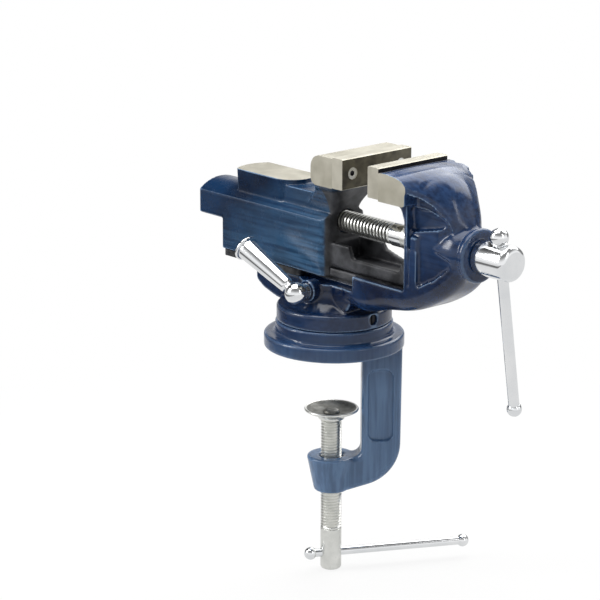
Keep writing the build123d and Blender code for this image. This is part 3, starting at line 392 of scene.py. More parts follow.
def axesAlong(direction):
    # three unit vectors as rows, the last along direction
    along = np.array(direction, float)
    along /= np.linalg.norm(along)
    side = np.cross((0, 1, 0) if abs(along[1]) < 0.9 else (0, 0, 1), along)
    side /= np.linalg.norm(side)
    return np.stack([side, np.cross(along, side), along])


def turnedMesh(name, profile, origin, direction, segments=72):
    # lathe shape from (along, radius) pairs that start and end on the axis:
    # point (i, j) is origin + along_i * axis + radius_i * (cos a_j * side + sin a_j * up)
    profile = np.array(profile, float)
    angle = np.arange(segments) * 2 * math.pi / segments
    local = np.stack([profile[:, 1:] * np.cos(angle), profile[:, 1:] * np.sin(angle),
                      profile[:, :1] + 0 * angle], -1)
    points = (local @ axesAlong(direction) + np.array(origin)).reshape(-1, 3)
    return meshFrom(name, points, gridFaces(len(profile), segments))


def arc(along, radius, size, start, end, steps=9):
    # (along, radius) points on part of a circle; 0 degrees is along the axis, 90 outwards
    angle = np.radians(np.linspace(start, end, steps))
    return np.stack([along + size * np.cos(angle), radius + size * np.sin(angle)], -1).tolist()


def threadMesh(name, spec, length, origin, direction):
    # Rows follow the helix: row k, column j lies at (k's place in its pitch + j's share of a
    # turn) pitches, clipped to the ends. Radius is the crest less depth times the row's cut,
    # with the cut faded out over one pitch where the thread runs out, and bevelled at the start.
    turns = int(math.ceil(length / spec["pitch"])) + 1
    steps = np.array(spec["steps"])
    whole = np.repeat(np.arange(-1, turns), len(steps))
    place = whole + np.tile(steps[:, 0], turns + 1)
    cut = np.tile(steps[:, 1], turns + 1)
    angle = np.arange(spec["segments"] + 1) * 2 * math.pi / spec["segments"]
    along = (place[:, None] + angle / (2 * math.pi)) * spec["pitch"]
    along = np.clip(along, 0, length)
    fade = np.clip((length - along) / spec["pitch"], 0, 1)
    radius = spec["crest"] - spec["depth"] * cut[:, None] * fade
    radius = np.minimum(radius, spec["crest"] - spec["bevel"] + along)
    local = np.stack([radius * np.cos(angle), radius * np.sin(angle), along], -1)
    start = np.zeros((1, len(angle), 3))
    local = np.concatenate([start, local, start + (0, 0, length)])
    points = (local @ axesAlong(direction) + np.array(origin)).reshape(-1, 3)
    return meshFrom(name, points, gridFaces(len(local), len(angle), ring=False))


def rodAxis(node):
    # both ends of a rod, from the longest spread of its points
    points = nodePoints(node)
    centre = (points.max(0) + points.min(0)) / 2
    direction = np.linalg.svd(points - points.mean(0), full_matrices=False)[2][0]
    reach = (points - centre) @ direction
    return centre + direction * reach.min(), centre + direction * reach.max()


def bakeModifiers(piece):
    # applies the piece's modifiers
    graph = bpy.context.evaluated_depsgraph_get()
    done = bpy.data.meshes.new_from_object(piece.evaluated_get(graph))
    piece.modifiers.clear()
    piece.data = done


def cutWith(piece, tool):
    # takes the tool's solid out of the piece and deletes the tool
    cutter = bpy.data.objects.new("cutter", tool)
    scene.collection.objects.link(cutter)
    change = piece.modifiers.new("cut", "BOOLEAN")
    change.operation = "DIFFERENCE"
    change.solver = "EXACT"
    change.object = cutter
    bakeModifiers(piece)
    bpy.data.objects.remove(cutter)


# castings

castLook = {
    # size of the even faces, and how they are smoothed
    "voxel": 0.9 * mm, "rounds": 4, "pull": (0.5, -0.52),
    # how proud a face stands before it is ground, and how near its plane counts as on it
    "proud": 1.3 * mm, "onPlane": 0.02 * mm,
    # a bore under this radius starts narrower by this factor, with what lies just outside it
    "slim": 2.5 * mm, "narrow": 0.5, "slimSpare": 0.05 * mm,
}


def smoothed(points, edges):
    # each round draws every point half way to its neighbours' mean and then pushes it back
    # out, which rounds edges and keeps the bulk
    count = np.zeros(len(points))
    np.add.at(count, edges.ravel(), 1)
    for share in castLook["pull"] * castLook["rounds"]:
        total = np.zeros_like(points)
        np.add.at(total, edges[:, 0], points[edges[:, 1]])
        np.add.at(total, edges[:, 1], points[edges[:, 0]])
        points = points + share * (total / count[:, None] - points)
    return points


def scaledInBores(points, bores, spare, scale):
    # multiplies the distance from a bore's axis, for the points that lie in it or up to spare
    # outside it, by the factor that scale gives for the bore's radius and those distances
    for origin, direction, radius, start, end in bores:
        axes = axesAlong(direction)
        local = (points - np.array(origin)) @ axes.T
        away = np.hypot(local[:, 0], local[:, 1])
        inside = (local[:, 2] > start) & (local[:, 2] < end) & (away < radius + spare)
        local[inside, :2] *= scale(radius, away[inside])[:, None]
        points = local @ axes + np.array(origin)
    return points


def grindFlat(mesh, grounds):
    # slices the mesh at each ground plane, closes the cut and gives it the second material
    work = bmesh.new()
    work.from_mesh(mesh)
    for axis, side, at, keep in grounds:
        work.faces.ensure_lookup_table()
        centres = np.array([face.calc_center_median() for face in work.faces])
        near = {work.faces[i] for i in np.flatnonzero(keep(centres))}
        near |= {edge for face in near for edge in face.edges} | {
            corner for face in near for corner in face.verts}
        normal = np.zeros(3)
        normal[axis] = side
        cut = bmesh.ops.bisect_plane(work, geom=list(near), plane_co=(normal * at).tolist(),
                                     plane_no=normal.tolist(), clear_outer=True)
        rim = [part for part in cut["geom_cut"] if isinstance(part, bmesh.types.BMEdge)]
        flat = bmesh.ops.triangle_fill(work, edges=rim, use_beauty=True)
        for part in flat["geom"]:
            if isinstance(part, bmesh.types.BMFace):
                part.material_index = 1
    bmesh.ops.recalc_face_normals(work, faces=work.faces)
    work.to_mesh(mesh)
    work.free()


def castPiece(name, node, body, grounds, bores, paint, greaseAndShadeAt=None, shape=None):
    # A copy of the CAD casting remade in fine even faces with its edges worn round, as sand
    # and enamel leave them. A ground face is (axis, side, place counted towards that side,
    # test for its region) and stands proud until it is sliced off at its place. A bore is (a
    # point on its axis, its direction, radius, start, end) and is brought to its radius last;
    # a slim one starts narrower, so that the thin wall beside it stays whole.
    points = nodePoints(node)
    for axis, side, at, keep in grounds:
        # on the negative side this moves the whole region and not just its outer face
        proud = (points[:, axis] * side > at * side - castLook["onPlane"]) & keep(points)
        points[proud, axis] += side * castLook["proud"]
    slimBores = [bore for bore in bores if bore[2] < castLook["slim"]]
    points = scaledInBores(points, slimBores, castLook["slimSpare"],
                           lambda radius, away: castLook["narrow"] + 0 * away)
    piece = bpy.data.objects.new(name, mergedCopy(node, points))
    scene.collection.objects.link(piece)
    change = piece.modifiers.new("even", "REMESH")
    change.mode = "VOXEL"
    change.voxel_size = castLook["voxel"]
    bakeModifiers(piece)
    mesh = piece.data
    edges = np.zeros(len(mesh.edges) * 2, np.int32)
    mesh.edges.foreach_get("vertices", edges)
    points = smoothed(pointsOf(mesh), edges.reshape(-1, 2))
    if shape:
        points = shape(points)
    movePoints(mesh, scaledInBores(points, bores, 0.0,
                                   lambda radius, away: radius / np.maximum(away, 1e-6)))
    grindFlat(mesh, grounds)
    bpy.data.objects.remove(piece)
    mesh.name = name
    finish = np.zeros(len(mesh.polygons), np.int32)
    mesh.polygons.foreach_get("material_index", finish)
    # old grease and painted shade, kept on the points for the enamel to read
    if greaseAndShadeAt:
        greaseAndShadeLayer = mesh.attributes.new("greaseAndShade", "FLOAT", "POINT")
        greaseAndShadeLayer.data.foreach_set("value", greaseAndShadeAt(pointsOf(mesh)).astype(np.float32))
    addPiece(name, mesh, body, [enamels[paint], metals["groundCastIron"]],
             (node,))
    mesh.polygons.foreach_set("material_index", finish)
    print(name, len(mesh.polygons), "faces", int(finish.sum()), "ground")


def step(value, start, end):
    # 0 before start, 1 after end, smooth between; the other way round where start is larger
    share = np.clip((value - start) / (end - start), 0, 1)
    return share * share * (3 - 2 * share)


# where the jaw heads start below the plates, and where they end along x
headSpec = {"below": 6 * mm, "back": 101 * mm}
plateLow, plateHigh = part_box("moving_jaw_plate")
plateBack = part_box("fixed_jaw_plate")[1].x
spindleLow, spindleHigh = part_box("spindle")
spindleHeight = (spindleLow.z + spindleHigh.z) / 2
headFoot = plateLow.z - headSpec["below"]


def jawHead(points):
    # the jaw heads stand above the spindle and anvil, and only their ends are ground
    return (points[:, 2] > headFoot) & (points[:, 0] < headSpec["back"])


headEnds = [(1, 1, plateHigh.y, jawHead), (1, -1, plateHigh.y, jawHead)]

swivelSpec = {
    # radius, start and end of each bore
    "spindleBore": (7.2 * mm, 60 * mm, 200 * mm), "spigotBore": (9.7 * mm, 15 * mm, 45.6 * mm),
    # over which the grease and painted shade fade in: up from the bed, below the head's foot,
    # away from the post and in from the sides
    "greaseShadeUp": (46.8 * mm, 48.2 * mm), "greaseShadeFoot": (0, -3 * mm),
    "greaseShadePost": (85.6 * mm, 84.1 * mm), "greaseShadeSides": (17.5 * mm, 15.5 * mm),
    # painted shadow in the step behind the jaw plate: along from its back, up from the head's
    # foot, strength
    "stepAlong": (4.0 * mm, 3.0 * mm), "stepUp": (15 * mm, 18 * mm), "stepShare": 0.8,
    # dip of the hood's top behind the plate, in the same terms
    "dipAlong": (8 * mm, 2.5 * mm), "dipUp": (14 * mm, 20 * mm), "dip": 1.3 * mm,
}


def bedGreaseAndShade(points):
    # old grease and painted shade in and on the bed up to the post, and painted shadow in the
    # step behind the jaw plate
    x, y, z = points.T
    spec = swivelSpec
    bed = (step(z, *spec["greaseShadeUp"]) * step(z - headFoot, *spec["greaseShadeFoot"])
           * step(x, *spec["greaseShadePost"]) * step(abs(y), *spec["greaseShadeSides"]))
    # the painted shadow in the step behind the jaw plate
    behind = step(x - plateBack, *spec["stepAlong"]) * step(z - headFoot, *spec["stepUp"])
    return np.maximum(bed, spec["stepShare"] * behind)


def dipBehindPlate(points):
    # lowers the hood's top just behind the jaw plate and runs back out
    x, y, z = points.T
    spec = swivelSpec
    points[:, 2] -= spec["dip"] * step(x - plateBack, *spec["dipAlong"]) * step(
        z - headFoot, *spec["dipUp"])
    return points


castPiece("swivelBodyCasting", "swivel_body", "vise_body", headEnds,
          [((0, 0, spindleHeight), alongX, *swivelSpec["spindleBore"]),
           ((0, 0, 0), alongZ, *swivelSpec["spigotBore"])],
          "navyStovingEnamel", bedGreaseAndShade, dipBehindPlate)

movingJawSpec = {
    "spindleBore": (7.8 * mm, -120 * mm, 20 * mm),
    # the keeper screws' radius, their number along x, and how far the bores go past them
    "keeperScrew": 1.7 * mm, "keeperColumns": 3, "keeperSpare": 1.5 * mm,
    # where the anvil starts along x, and how far down from its top its region goes
    "anvilFront": -22 * mm, "anvilDepth": 8 * mm,
    # grease and painted shade fade in below the head's foot, towards the box's front and in from
    # the sides
    "greaseShadeFoot": (5 * mm, -1 * mm), "greaseShadeFront": (8.0 * mm, 9.6 * mm),
    "greaseShadeSides": (30 * mm, 25 * mm),
}
jawPoints = nodePoints("moving_jaw_casting")
jawTop = float(jawPoints[:, 2].max())
anvilHeight = float(jawPoints[jawPoints[:, 0] < movingJawSpec["anvilFront"]][:, 2].max())


def anvilTop(points):
    # the anvil stands alone behind the jaw
    return (points[:, 0] < movingJawSpec["anvilFront"]) & (
        points[:, 2] > anvilHeight - movingJawSpec["anvilDepth"])


def jawGreaseAndShade(points):
    # old grease and painted shade on the front of box and neck below the plate, and on the slide
    # before them
    x, y, z = points.T
    spec = movingJawSpec
    return (step(z - headFoot, *spec["greaseShadeFoot"]) * step(x, *spec["greaseShadeFront"])
            * step(abs(y), *spec["greaseShadeSides"]))


screwsLow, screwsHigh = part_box("keeper_screws")
screwRadius = movingJawSpec["keeperScrew"]
keeperBores = [
    ((x, y, screwsLow.z), alongZ, screwRadius, 0.0,
     screwsHigh.z - screwsLow.z + movingJawSpec["keeperSpare"])
    for x in np.linspace(screwsLow.x + screwRadius, screwsHigh.x - screwRadius,
                         movingJawSpec["keeperColumns"])
    for y in (screwsLow.y + screwRadius, screwsHigh.y - screwRadius)]
castPiece("movingJawCasting", "moving_jaw_casting", "moving_jaw",
          headEnds + [(2, 1, jawTop, jawHead), (2, 1, anvilHeight, anvilTop)],
          [((0, 0, spindleHeight), alongX, *movingJawSpec["spindleBore"]), *keeperBores],
          "jawPaintedLightNavyEnamel", jawGreaseAndShade)

clampFrameSpec = {
    # where the clamp screw's axis lies, and radius, start and end of each bore
    "screwAxis": (-0.964 * mm, -1.149 * mm, 0),
    "screwBore": (7.15 * mm, -110 * mm, -70 * mm), "spigotBore": (9.5 * mm, 4 * mm, 30 * mm),
}
castPiece("clampFrameCasting", "clamp_frame", "bench_clamp", [],
          [(clampFrameSpec["screwAxis"], alongZ, *clampFrameSpec["screwBore"]),
           ((0, 0, 0), alongZ, *clampFrameSpec["spigotBore"])], "paleNavyStovingEnamel")
print("castings made")


# spindle, its head and bar

spindleSpec = {
    "crest": 7.0 * mm, "pitch": 3.0 * mm, "depth": 1.9 * mm, "segments": 72, "bevel": 1.4 * mm,
    "steps": [(0, 0), (0.36, 0), (0.5, 1), (0.86, 1)],   # place in a pitch, share of the depth
    # grease and painted shade in the thread's grooves: its colour, and the depths below the crest
    # where it is full and where it has faded out
    "greaseShadeTone": "#101113", "greaseShadeDepths": (1.5 * mm, 0.5 * mm),
    # plain journal before the retaining collar
    "journal": 7.5 * mm, "journalAhead": 10.5 * mm, "journalBevel": 0.6 * mm,
    # head, which stands off the barrel
    "standOff": 0.2 * mm, "backRound": 1.6 * mm, "frontRound": 4.0 * mm, "headSegments": 96,
}
crest = spindleSpec["crest"]
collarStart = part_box("retaining_collar")[0].x
journalStart = collarStart - spindleSpec["journalAhead"]
# The same zinc-plated steel with black grease and painted shade in the grooves of the thread.
threadSteel = makeMetal("greaseShadedThreadSteel", {
    **metalLooks["clearZincSteel"], "greaseShadeTone": spindleSpec["greaseShadeTone"],
    "groove": ((0, 0, spindleHeight), *[crest - depth for depth in spindleSpec["greaseShadeDepths"]])})
addPiece("spindleThread",
         threadMesh("spindleThread", spindleSpec, journalStart - spindleLow.x,
                    (spindleLow.x, 0, spindleHeight), alongX),
         "spindle_assembly", [threadSteel])

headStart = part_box("swivel_body")[1].x + spindleSpec["standOff"]
headRadius = (spindleHigh.z - spindleLow.z) / 2
headLength = spindleHigh.x - headStart
front, back = spindleSpec["frontRound"], spindleSpec["backRound"]
journal, bevel = spindleSpec["journal"], spindleSpec["journalBevel"]
plain, collar = journalStart - headStart, collarStart - headStart
headProfile = ([(plain, 0), (plain, journal - bevel), (plain + bevel, journal),
                (collar, journal), (collar, crest), (0, crest)]
               + arc(back, headRadius - back, back, 180, 90, 7)
               + arc(headLength - front, headRadius - front, front, 90, 0, 13)
               + [(headLength, 0)])
spindleHead = addPiece(
    "spindleHead", turnedMesh("spindleHead", headProfile, (headStart, 0, spindleHeight), alongX,
                              spindleSpec["headSegments"]),
    "spindle_assembly", [metals["chromePlate"]], ("spindle",))

barSpec = {
    "segments": 48, "bevel": 0.4 * mm,
    # the flat that the rod leaves a knob by, and the short collar round the rod there
    "flat": 0.175, "collarLength": 0.6 * mm, "collarEnd": 0.15 * mm, "collarFoot": 0.5 * mm,
    # room round a bar in its hole and round a knob in its seat
    "spare": 0.08 * mm, "seatSpare": 0.3 * mm, "seatSegments": 64,
    # length of each bar's hole, and how far back it starts
    "spindleHole": (60 * mm, 45 * mm), "clampHole": (40 * mm, 20 * mm),
}


def rodProfile(length, radius):
    # a round rod with a small bevel at both ends
    bevel = barSpec["bevel"]
    return [(0, 0), (0, radius - bevel), (bevel, radius), (length - bevel, radius),
            (length, radius - bevel), (length, 0)]


def knobProfile(radius, rod):
    # a ball, flat where the rod leaves it, with a short collar round the rod; along points
    # away from the rod
    leave = math.degrees(math.asin(min(0.95, rod / radius + barSpec["flat"])))
    flat = -radius * math.cos(math.radians(leave))
    collarEnd = flat - barSpec["collarLength"]
    return ([(collarEnd, 0), (collarEnd, rod + barSpec["collarEnd"]),
             (flat, rod + barSpec["collarFoot"])]
            + arc(0, 0, radius, 180 - leave, 0, 25))


def ballOf(node):
    # middle and radius of a knob
    low, high = [np.array(corner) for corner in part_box(node)]
    return (low + high) / 2, max(high - low) / 2


def makeBar(name, rodNode, knobs, body):
    # a chromed tommy bar: its rod, and a ball knob on each end
    low, high = rodAxis(rodNode)
    length = np.linalg.norm(high - low)
    along = (high - low) / length
    radius = np.ptp(nodePoints(rodNode) @ axesAlong(along)[0]) / 2
    rod = turnedMesh(name + "Rod", rodProfile(length, radius), low, along, barSpec["segments"])
    addPiece(name + "Rod", rod, body, [metals["chromePlate"]], (rodNode,))
    for node, suffix in knobs:
        middle, size = ballOf(node)
        isHigh = np.dot(middle - low, along) > length / 2
        end, away = (high, along) if isHigh else (low, -along)
        knob = turnedMesh(name + suffix, knobProfile(size, radius), end, away,
                          barSpec["segments"])
        addPiece(name + suffix, knob, body, [metals["chromePlate"]], (node,))
    return low, high, along, radius


def boreForBar(piece, start, way, radius, size):
    # bores the piece for a bar; size is the hole's length and how far back of start it begins
    length, back = size
    cutWith(piece, turnedMesh("hole", rodProfile(length, radius + barSpec["spare"]),
                              start - way * back, way, barSpec["segments"]))


barLow, barHigh, barWay, barRadius = makeBar(
    "spindleBar", "spindle_bar",
    [("spindle_bar_upper_knob", "UpperKnob"), ("spindle_bar_lower_knob", "LowerKnob")],
    "spindle_tommy_bar")
if barWay[2] < 0:
    # the bar hangs from its upper knob, so its hole and the knob's seat start at that end
    barHigh, barWay = barLow, -barWay
boreForBar(spindleHead, barHigh, barWay, barRadius, barSpec["spindleHole"])
seatRadius = ballOf("spindle_bar_upper_knob")[1] + barSpec["seatSpare"]
cutWith(spindleHead, turnedMesh("seat", arc(0, 0, seatRadius, 180, 0, 33), barHigh, barWay,
                                barSpec["seatSegments"]))
print("spindle made")


# lock lever

leverSpec = {
    # radius of the ball hub and of the neck in it, where the handle starts and with what
    # radius, and the radius its taper grows to; its cap reaches past the CAD lever
    "hub": 7.4 * mm, "neck": 3.4 * mm, "root": 7.2 * mm, "rootRadius": 5.0 * mm,
    "rootRound": 2.6 * mm, "endRadius": 7.1 * mm, "longer": 1.6 * mm,
    # cap: a cove behind a flange, and a flat dome; places are counted back from its end
    "cove": 7.4 * mm, "coveCentre": 6.2 * mm, "coveRound": 1.2 * mm, "flange": 8.9 * mm,
    "flangeCentre": 4.4 * mm, "flangeRound": 1.3 * mm, "dome": 9.4 * mm,
    "farPoints": 40,   # how many of the CAD lever's farthest points give its direction
}
spec = leverSpec
hubLow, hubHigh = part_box("lock_screw")
hubCentre = np.array([(hubLow.x + hubHigh.x) / 2, hubLow.y + spec["hub"],
                      (hubLow.z + hubHigh.z) / 2])
fromHub = nodePoints("lock_lever") - hubCentre
leverWay = fromHub[np.argsort(np.linalg.norm(fromHub, axis=1))[-spec["farPoints"]:]].mean(0)
leverWay[1] = 0
leverWay /= np.linalg.norm(leverWay)
cap = (fromHub @ leverWay).max() + spec["longer"]
leverProfile = (
    [(0, 0), (0, spec["neck"]), (spec["root"], spec["neck"])]
    + arc(spec["root"] + spec["rootRound"], spec["rootRadius"] - spec["rootRound"],
          spec["rootRound"], 180, 95, 8)
    + [(cap - spec["cove"], spec["endRadius"])]
    + arc(cap - spec["coveCentre"], spec["endRadius"] + spec["flangeRound"],
          spec["coveRound"], 262, 292, 5)
    + arc(cap - spec["flangeCentre"], spec["flange"] - spec["flangeRound"],
          spec["flangeRound"], 150, 60, 8)
    + arc(cap - spec["dome"], 0, spec["dome"], 50, 0, 14))
addPiece("lockLever", turnedMesh("lockLever", leverProfile, hubCentre, leverWay),
         "lock_handle", [metals["chromePlate"]], ("lock_lever",))
print("lever made")


# clamp screw and pad

screwLow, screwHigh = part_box("clamp_screw")
screwCentre = ((screwLow.x + screwHigh.x) / 2, (screwLow.y + screwHigh.y) / 2)
clampSpec = {
    "pitch": 2.0 * mm, "depth": 1.15 * mm, "segments": 64, "bevel": 1.5 * mm,
    "steps": [(0, 0), (0.14, 0), (0.5, 1), (0.66, 1)],
    "crest": (screwHigh.x - screwLow.x) / 2,
    # plain end, which the bar goes through
    "plain": 29 * mm, "plainRound": 2.0 * mm, "plainBevel": 0.6 * mm, "endSegments": 96,
}
threadLength = screwHigh.z - screwLow.z - clampSpec["plain"]
addPiece("clampScrewThread",
         threadMesh("clampScrewThread", clampSpec, threadLength, (*screwCentre, screwHigh.z),
                    (0, 0, -1)),
         "clamp_spindle", [metals["clearZincSteel"]])
crest, plain, bevel = clampSpec["crest"], clampSpec["plain"], clampSpec["plainBevel"]
endRound = clampSpec["plainRound"]
endProfile = ([(0, 0)] + arc(endRound, crest - endRound, endRound, 180, 90, 8)
              + [(plain - bevel, crest), (plain, crest - bevel), (plain, 0)])
clampEnd = addPiece(
    "clampScrewEnd", turnedMesh("clampScrewEnd", endProfile, (*screwCentre, screwLow.z), alongZ,
                                clampSpec["endSegments"]),
    "clamp_spindle", [metals["clearZincSteel"]], ("clamp_screw",))
barLow, barHigh, barWay, barRadius = makeBar(
    "clampBar", "clamp_bar",
    [("clamp_bar_short_knob", "ShortKnob"), ("clamp_bar_long_knob", "LongKnob")],
    "clamp_tommy_bar")
boreForBar(clampEnd, np.array([*screwCentre, barLow[2]]), barWay, barRadius,
           barSpec["clampHole"])

padSpec = {
    # the dish, as (depth below the rim, radius), and the underside, as (height, radius)
    "dish": [(3.2, 0), (3.2, 7.0), (3.0, 9.0), (2.3, 12.0), (1.2, 14.8)],
    "under": [(2.6, 10.0), (1.2, 8.9), (0, 8.6), (0, 0)],
    # the rim: where the dish meets it, its round, and where the underside leaves it
    "rimIn": (0.2 * mm, 1.5 * mm), "rimRound": 0.8 * mm, "rimUnder": (2.6 * mm, 2.4 * mm),
    # the painted shade in the dish: how far inside the rim it stops, and how upward its faces
    # turn
    "segments": 96, "paintedLightEdge": 1.4 * mm, "shadeSlope": 0.5,
}
padLow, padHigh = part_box("clamp_pad")
padRadius, padHeight = (padHigh.x - padLow.x) / 2, padHigh.z - padLow.z
rim, inner, under = padSpec["rimRound"], padSpec["rimIn"], padSpec["rimUnder"]
padProfile = ([(padHeight - depth * mm, radius * mm) for depth, radius in padSpec["dish"]]
              + [(padHeight - inner[0], padRadius - inner[1])]
              + arc(padHeight - rim, padRadius - rim, rim, 20, 160)
              + [(padHeight - under[0], padRadius - under[1])]
              + [(height * mm, radius * mm) for height, radius in padSpec["under"]])
clampPad = addPiece(
    "clampPad", turnedMesh("clampPad", padProfile, (*screwCentre, padLow.z), alongZ,
                           padSpec["segments"]),
    "clamp_foot", [metals["clearZincSteel"], metals["wornShadedPadSteel"]], ("clamp_pad",))
# painted shade on the dish's upward faces inside the rim
secondFinish(clampPad.data, lambda centres, normals: (
    normals[:, 2] > padSpec["shadeSlope"]) & (np.hypot(
        centres[:, 0] - screwCentre[0], centres[:, 1] - screwCentre[1])
        < padRadius - padSpec["paintedLightEdge"]))
print("clamp screw made")


# jaw plates and their screws

jawPlateSpec = {
    "crease": 8, "facing": 0.9, "screwCrease": 30,
    # a socket takes this share of its screw's radius and starts this far behind its face
    "socket": 0.7, "inside": 0.05 * mm,
}


def dressedCopy(name, node, body, finishes, crease, chosen):
    # a merged copy of a CAD node in two finishes: the faces that chosen passes get the second
    mesh = mergedCopy(node)
    addPiece(name, mesh, body, [metals[finish] for finish in finishes], (node,),
             crease)
    secondFinish(mesh, chosen)


for name, node, body, second in (
        ("movingJawPlate", "moving_jaw_plate", "moving_jaw", "stainedShadedJawSteel"),
        ("fixedJawPlate", "fixed_jaw_plate", "vise_body", "blackOxideAndShadeSteel")):
    # of both plates it is the side towards the spindle's head that has the second finish:
    # the moving plate's working face and the fixed plate's back, both darker as painted shade
    dressedCopy(name, node, body, ("hardenedJawSteel", second),
                jawPlateSpec["crease"],
                lambda centres, normals: normals[:, 0] > jawPlateSpec["facing"])
for name, node, body in (("movingJawScrews", "moving_jaw_screws", "moving_jaw"),
                         ("fixedJawScrews", "fixed_jaw_screws", "vise_body")):
    low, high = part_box(node)
    radius = (high.z - low.z) / 2
    faceAt = high.x if body == "moving_jaw" else low.x
    dressedCopy(name, node, body, ("clearZincSteel", "blackOxideAndShadeSteel"),
                jawPlateSpec["screwCrease"], lambda centres, normals: (
                    # painted shade inside a socket: near its screw's axis and behind the screw's
                    # face
                    np.hypot(abs(centres[:, 1]) - (high.y - radius),
                             centres[:, 2] - low.z - radius) < jawPlateSpec["socket"] * radius)
                & (abs(centres[:, 0] - faceAt) > jawPlateSpec["inside"]))
print("jaw plates made")


# finishes of the CAD nodes that stay

finishes = {
    "clearZincSteel": ["retaining_collar", "retaining_pin", "thrust_washer"],
    "chromePlate": ["lock_screw"],
    # the pad's rivet takes the same painted shade
    "wornShadedPadSteel": ["pad_rivet"],
    "oiledSlideIron": ["pivot_spigot"],
    "greasyCastIron": ["front_keeper", "rear_keeper"],
    "blackOxideAndShadeSteel": ["keeper_screws", "nut_screws", "swivel_grub_screw"],
    "turnedBrass": ["spindle_nut", "lock_shoe"],
}
for metal, names in finishes.items():
    for node in names:
        nodes[node].data.materials.clear()
        nodes[node].data.materials.append(metals[metal])
print("finishes given")


# floor, light and camera

def cardShade(tree, value, near, far, bright, dark):
    # bright falls to dark over the span near and rises again over the span far
    shades = [addNode(tree, "ShaderNodeMapRange", "Result", {
        "Value": value, "From Min": span[0], "From Max": span[1], "To Min": first,
        "To Max": last}, interpolation_type="SMOOTHSTEP")
        for span, first, last in ((near, bright, dark), (far, dark, bright))]
    return addNode(tree, "ShaderNodeMath", 0, {0: shades[0], 1: shades[1]},
                   operation="MAXIMUM")


# The floor is pale paper that keeps a soft shadow. The camera sees it white away from the
# object, and so do reflections, but for a dark card that lies on it to the near left and keeps
# the sides of the castings deep.
floorLook = {
    "paper": "#e3e3e1", "rough": 0.9, "size": 4.0, "below": 0.4 * mm,
    # share of shaded paper under the object, and the distances between which that fades out
    "shadow": 0.16, "near": 0.1, "far": 0.5,
    # brightness of paper and card in reflections, and which way and how far the card lies
    "mirrored": 0.8, "card": 0.15, "cardWay": (-0.745, -0.667, 0),
    "cardNear": (0.42, 0.6), "cardFar": (0.95, 1.2),
}
size, floorHeight = floorLook["size"], cadBox[0].z - floorLook["below"]
floorMesh = bpy.data.meshes.new("floor")
floorMesh.from_pydata([(-size, -size, floorHeight), (size, -size, floorHeight),
                       (size, size, floorHeight), (-size, size, floorHeight)], [], [(0, 1, 2, 3)])
floor = bpy.data.objects.new("floor", floorMesh)
scene.collection.objects.link(floor)
# Matt paper: its diffuse white takes the shadow, and the glow mixed in is the light behind it.
material, tree, shader, place = startMaterial("palePaper", {
    "Base Color": linearColour(floorLook["paper"]), "Roughness": floorLook["rough"]})
distance = addNode(tree, "ShaderNodeVectorMath", "Value", {0: place}, operation="LENGTH")
fade = addNode(tree, "ShaderNodeMapRange", "Result", {
    "Value": distance, "From Min": floorLook["near"], "From Max": floorLook["far"],
    "To Min": 1 - floorLook["shadow"], "To Max": 1.0})
path = addNode(tree, "ShaderNodeLightPath", None)
mirrored = addNode(tree, "ShaderNodeMath", 0, {
    0: path.outputs["Is Glossy Ray"], 1: path.outputs["Is Transmission Ray"]},
    operation="MAXIMUM")
seen = addNode(tree, "ShaderNodeMath", 0, {
    0: path.outputs["Is Camera Ray"], 1: mirrored}, operation="MAXIMUM")
share = addNode(tree, "ShaderNodeMath", 0, {0: fade, 1: seen}, operation="MULTIPLY")
side = addNode(tree, "ShaderNodeVectorMath", "Value", {0: place, 1: floorLook["cardWay"]},
               operation="DOT_PRODUCT")
paper = cardShade(tree, side, floorLook["cardNear"], floorLook["cardFar"],
                  floorLook["mirrored"], floorLook["card"])
strength = addNode(tree, "ShaderNodeMix", 0, {0: mirrored, 2: 1.0, 3: paper})
glow = addNode(tree, "ShaderNodeEmission", 0, {"Color": (1, 1, 1, 1), "Strength": strength})
mixed = addNode(tree, "ShaderNodeMixShader", 0, {0: share, 1: shader.outputs[0], 2: glow})
tree.links.new(mixed, tree.nodes["Material Output"].inputs["Surface"])
floorMesh.materials.append(material)

# The camera sees the world white. In reflections it is white round the horizon, as the paper
# is, under a dim room, and a grey card stands round the backdrop to draw the edges of the
# bright metal.
worldLook = {
    # light on matt surfaces, then paper and room, and the heights between which one turns to
    # the other
    "ambient": 0.3, "paper": 1.0, "room": 0.26, "from": 0.18, "to": 0.7,
    "backdrop": (-0.745, 0.667, 0), "card": 0.22,
    "cardNear": (0.1, 0.42), "cardFar": (0.86, 0.95),
}
world = bpy.data.worlds.new("softStudio")
scene.world = world
world.use_nodes = True
tree = world.node_tree
tree.nodes.clear()
direction = addNode(tree, "ShaderNodeTexCoord", "Generated")
height = addNode(tree, "ShaderNodeSeparateXYZ", "Z", {0: direction})
sky = addNode(tree, "ShaderNodeMapRange", "Result", {
    "Value": height, "From Min": worldLook["from"], "From Max": worldLook["to"],
    "To Min": worldLook["paper"], "To Max": worldLook["room"]}, interpolation_type="SMOOTHSTEP")
facing = addNode(tree, "ShaderNodeVectorMath", "Value", {
    0: direction, 1: worldLook["backdrop"]}, operation="DOT_PRODUCT")
card = cardShade(tree, facing, worldLook["cardNear"], worldLook["cardFar"],
                 worldLook["paper"], worldLook["card"])
sky = addNode(tree, "ShaderNodeMath", 0, {0: sky, 1: card}, operation="MULTIPLY")
path = addNode(tree, "ShaderNodeLightPath", None)
strength = addNode(tree, "ShaderNodeMix", 0, {
    0: path.outputs["Is Diffuse Ray"], 2: sky, 3: worldLook["ambient"]})
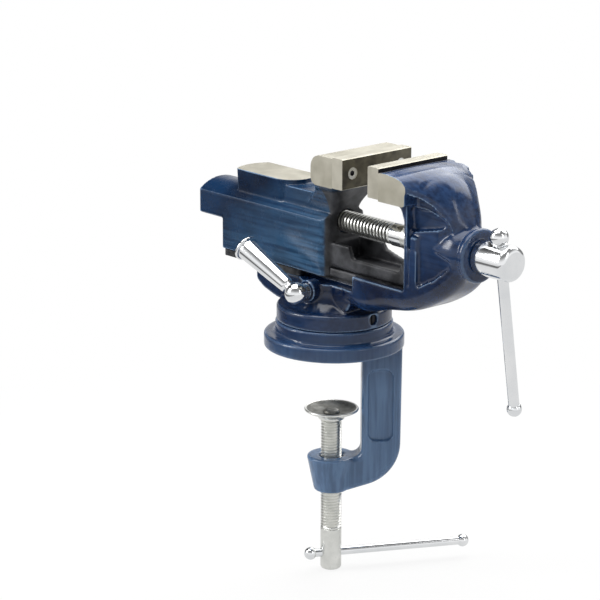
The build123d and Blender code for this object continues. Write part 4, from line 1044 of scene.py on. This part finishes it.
strength = addNode(tree, "ShaderNodeMix", 0, {
    0: path.outputs["Is Camera Ray"], 2: strength, 3: worldLook["paper"]})
backdrop = addNode(tree, "ShaderNodeBackground", 0, {
    "Color": (1, 1, 1, 1), "Strength": strength})
addNode(tree, "ShaderNodeOutputWorld", None, {"Surface": backdrop})

lampSpecs = {
    # name: place, aimed at, width, height, watts
    "topSoftbox": ((-0.2, -0.15, 1.15), (0.0, 0.0, 0.05), 1.0, 1.0, 11.0),
    "leftSoftbox": ((-0.85, -1.15, 0.75), (0.0, 0.0, 0.05), 0.5, 0.8, 12.0),
    "rightStrip": ((1.3, 0.1, 0.75), (0.05, 0.0, 0.05), 0.2, 0.9, 2.0),
    "backSoftbox": ((-0.15, 1.0, 1.05), (0.0, 0.0, 0.1), 1.5, 1.1, 17.0),
}
for name, (spot, aim, width, tall, watts) in lampSpecs.items():
    lamp = bpy.data.lights.new(name, "AREA")
    lamp.shape = "RECTANGLE"
    lamp.size, lamp.size_y, lamp.energy = width, tall, watts
    holder = bpy.data.objects.new(name, lamp)
    holder.location = spot
    holder.rotation_euler = (Vector(aim) - Vector(spot)).to_track_quat("-Z", "Y").to_euler()
    scene.collection.objects.link(holder)

cameraSpec = {
    # its place, the degrees it stands round and above and is rolled by, and its lens in mm
    "spot": (1.22035, -1.12136, 0.48906), "azimuth": 48.194, "elevation": 15.487,
    "roll": 0.073, "lens": 158.19, "sensor": 36,
}
camera = bpy.data.objects.new("camera", bpy.data.cameras.new("camera"))
camera.data.lens = cameraSpec["lens"]
camera.data.sensor_width = cameraSpec["sensor"]
turn, rise = math.radians(cameraSpec["azimuth"]), math.radians(cameraSpec["elevation"])
backWay = Vector((math.sin(turn) * math.cos(rise), -math.cos(turn) * math.cos(rise),
                  math.sin(rise)))
camera.matrix_world = Matrix.Translation(cameraSpec["spot"]) @ (
    (-backWay).to_track_quat("-Z", "Y").to_matrix().to_4x4()
    @ Matrix.Rotation(math.radians(cameraSpec["roll"]), 4, "Z"))
scene.collection.objects.link(camera)
scene.camera = camera
scene.view_settings.view_transform = "Standard"
print("stage made")
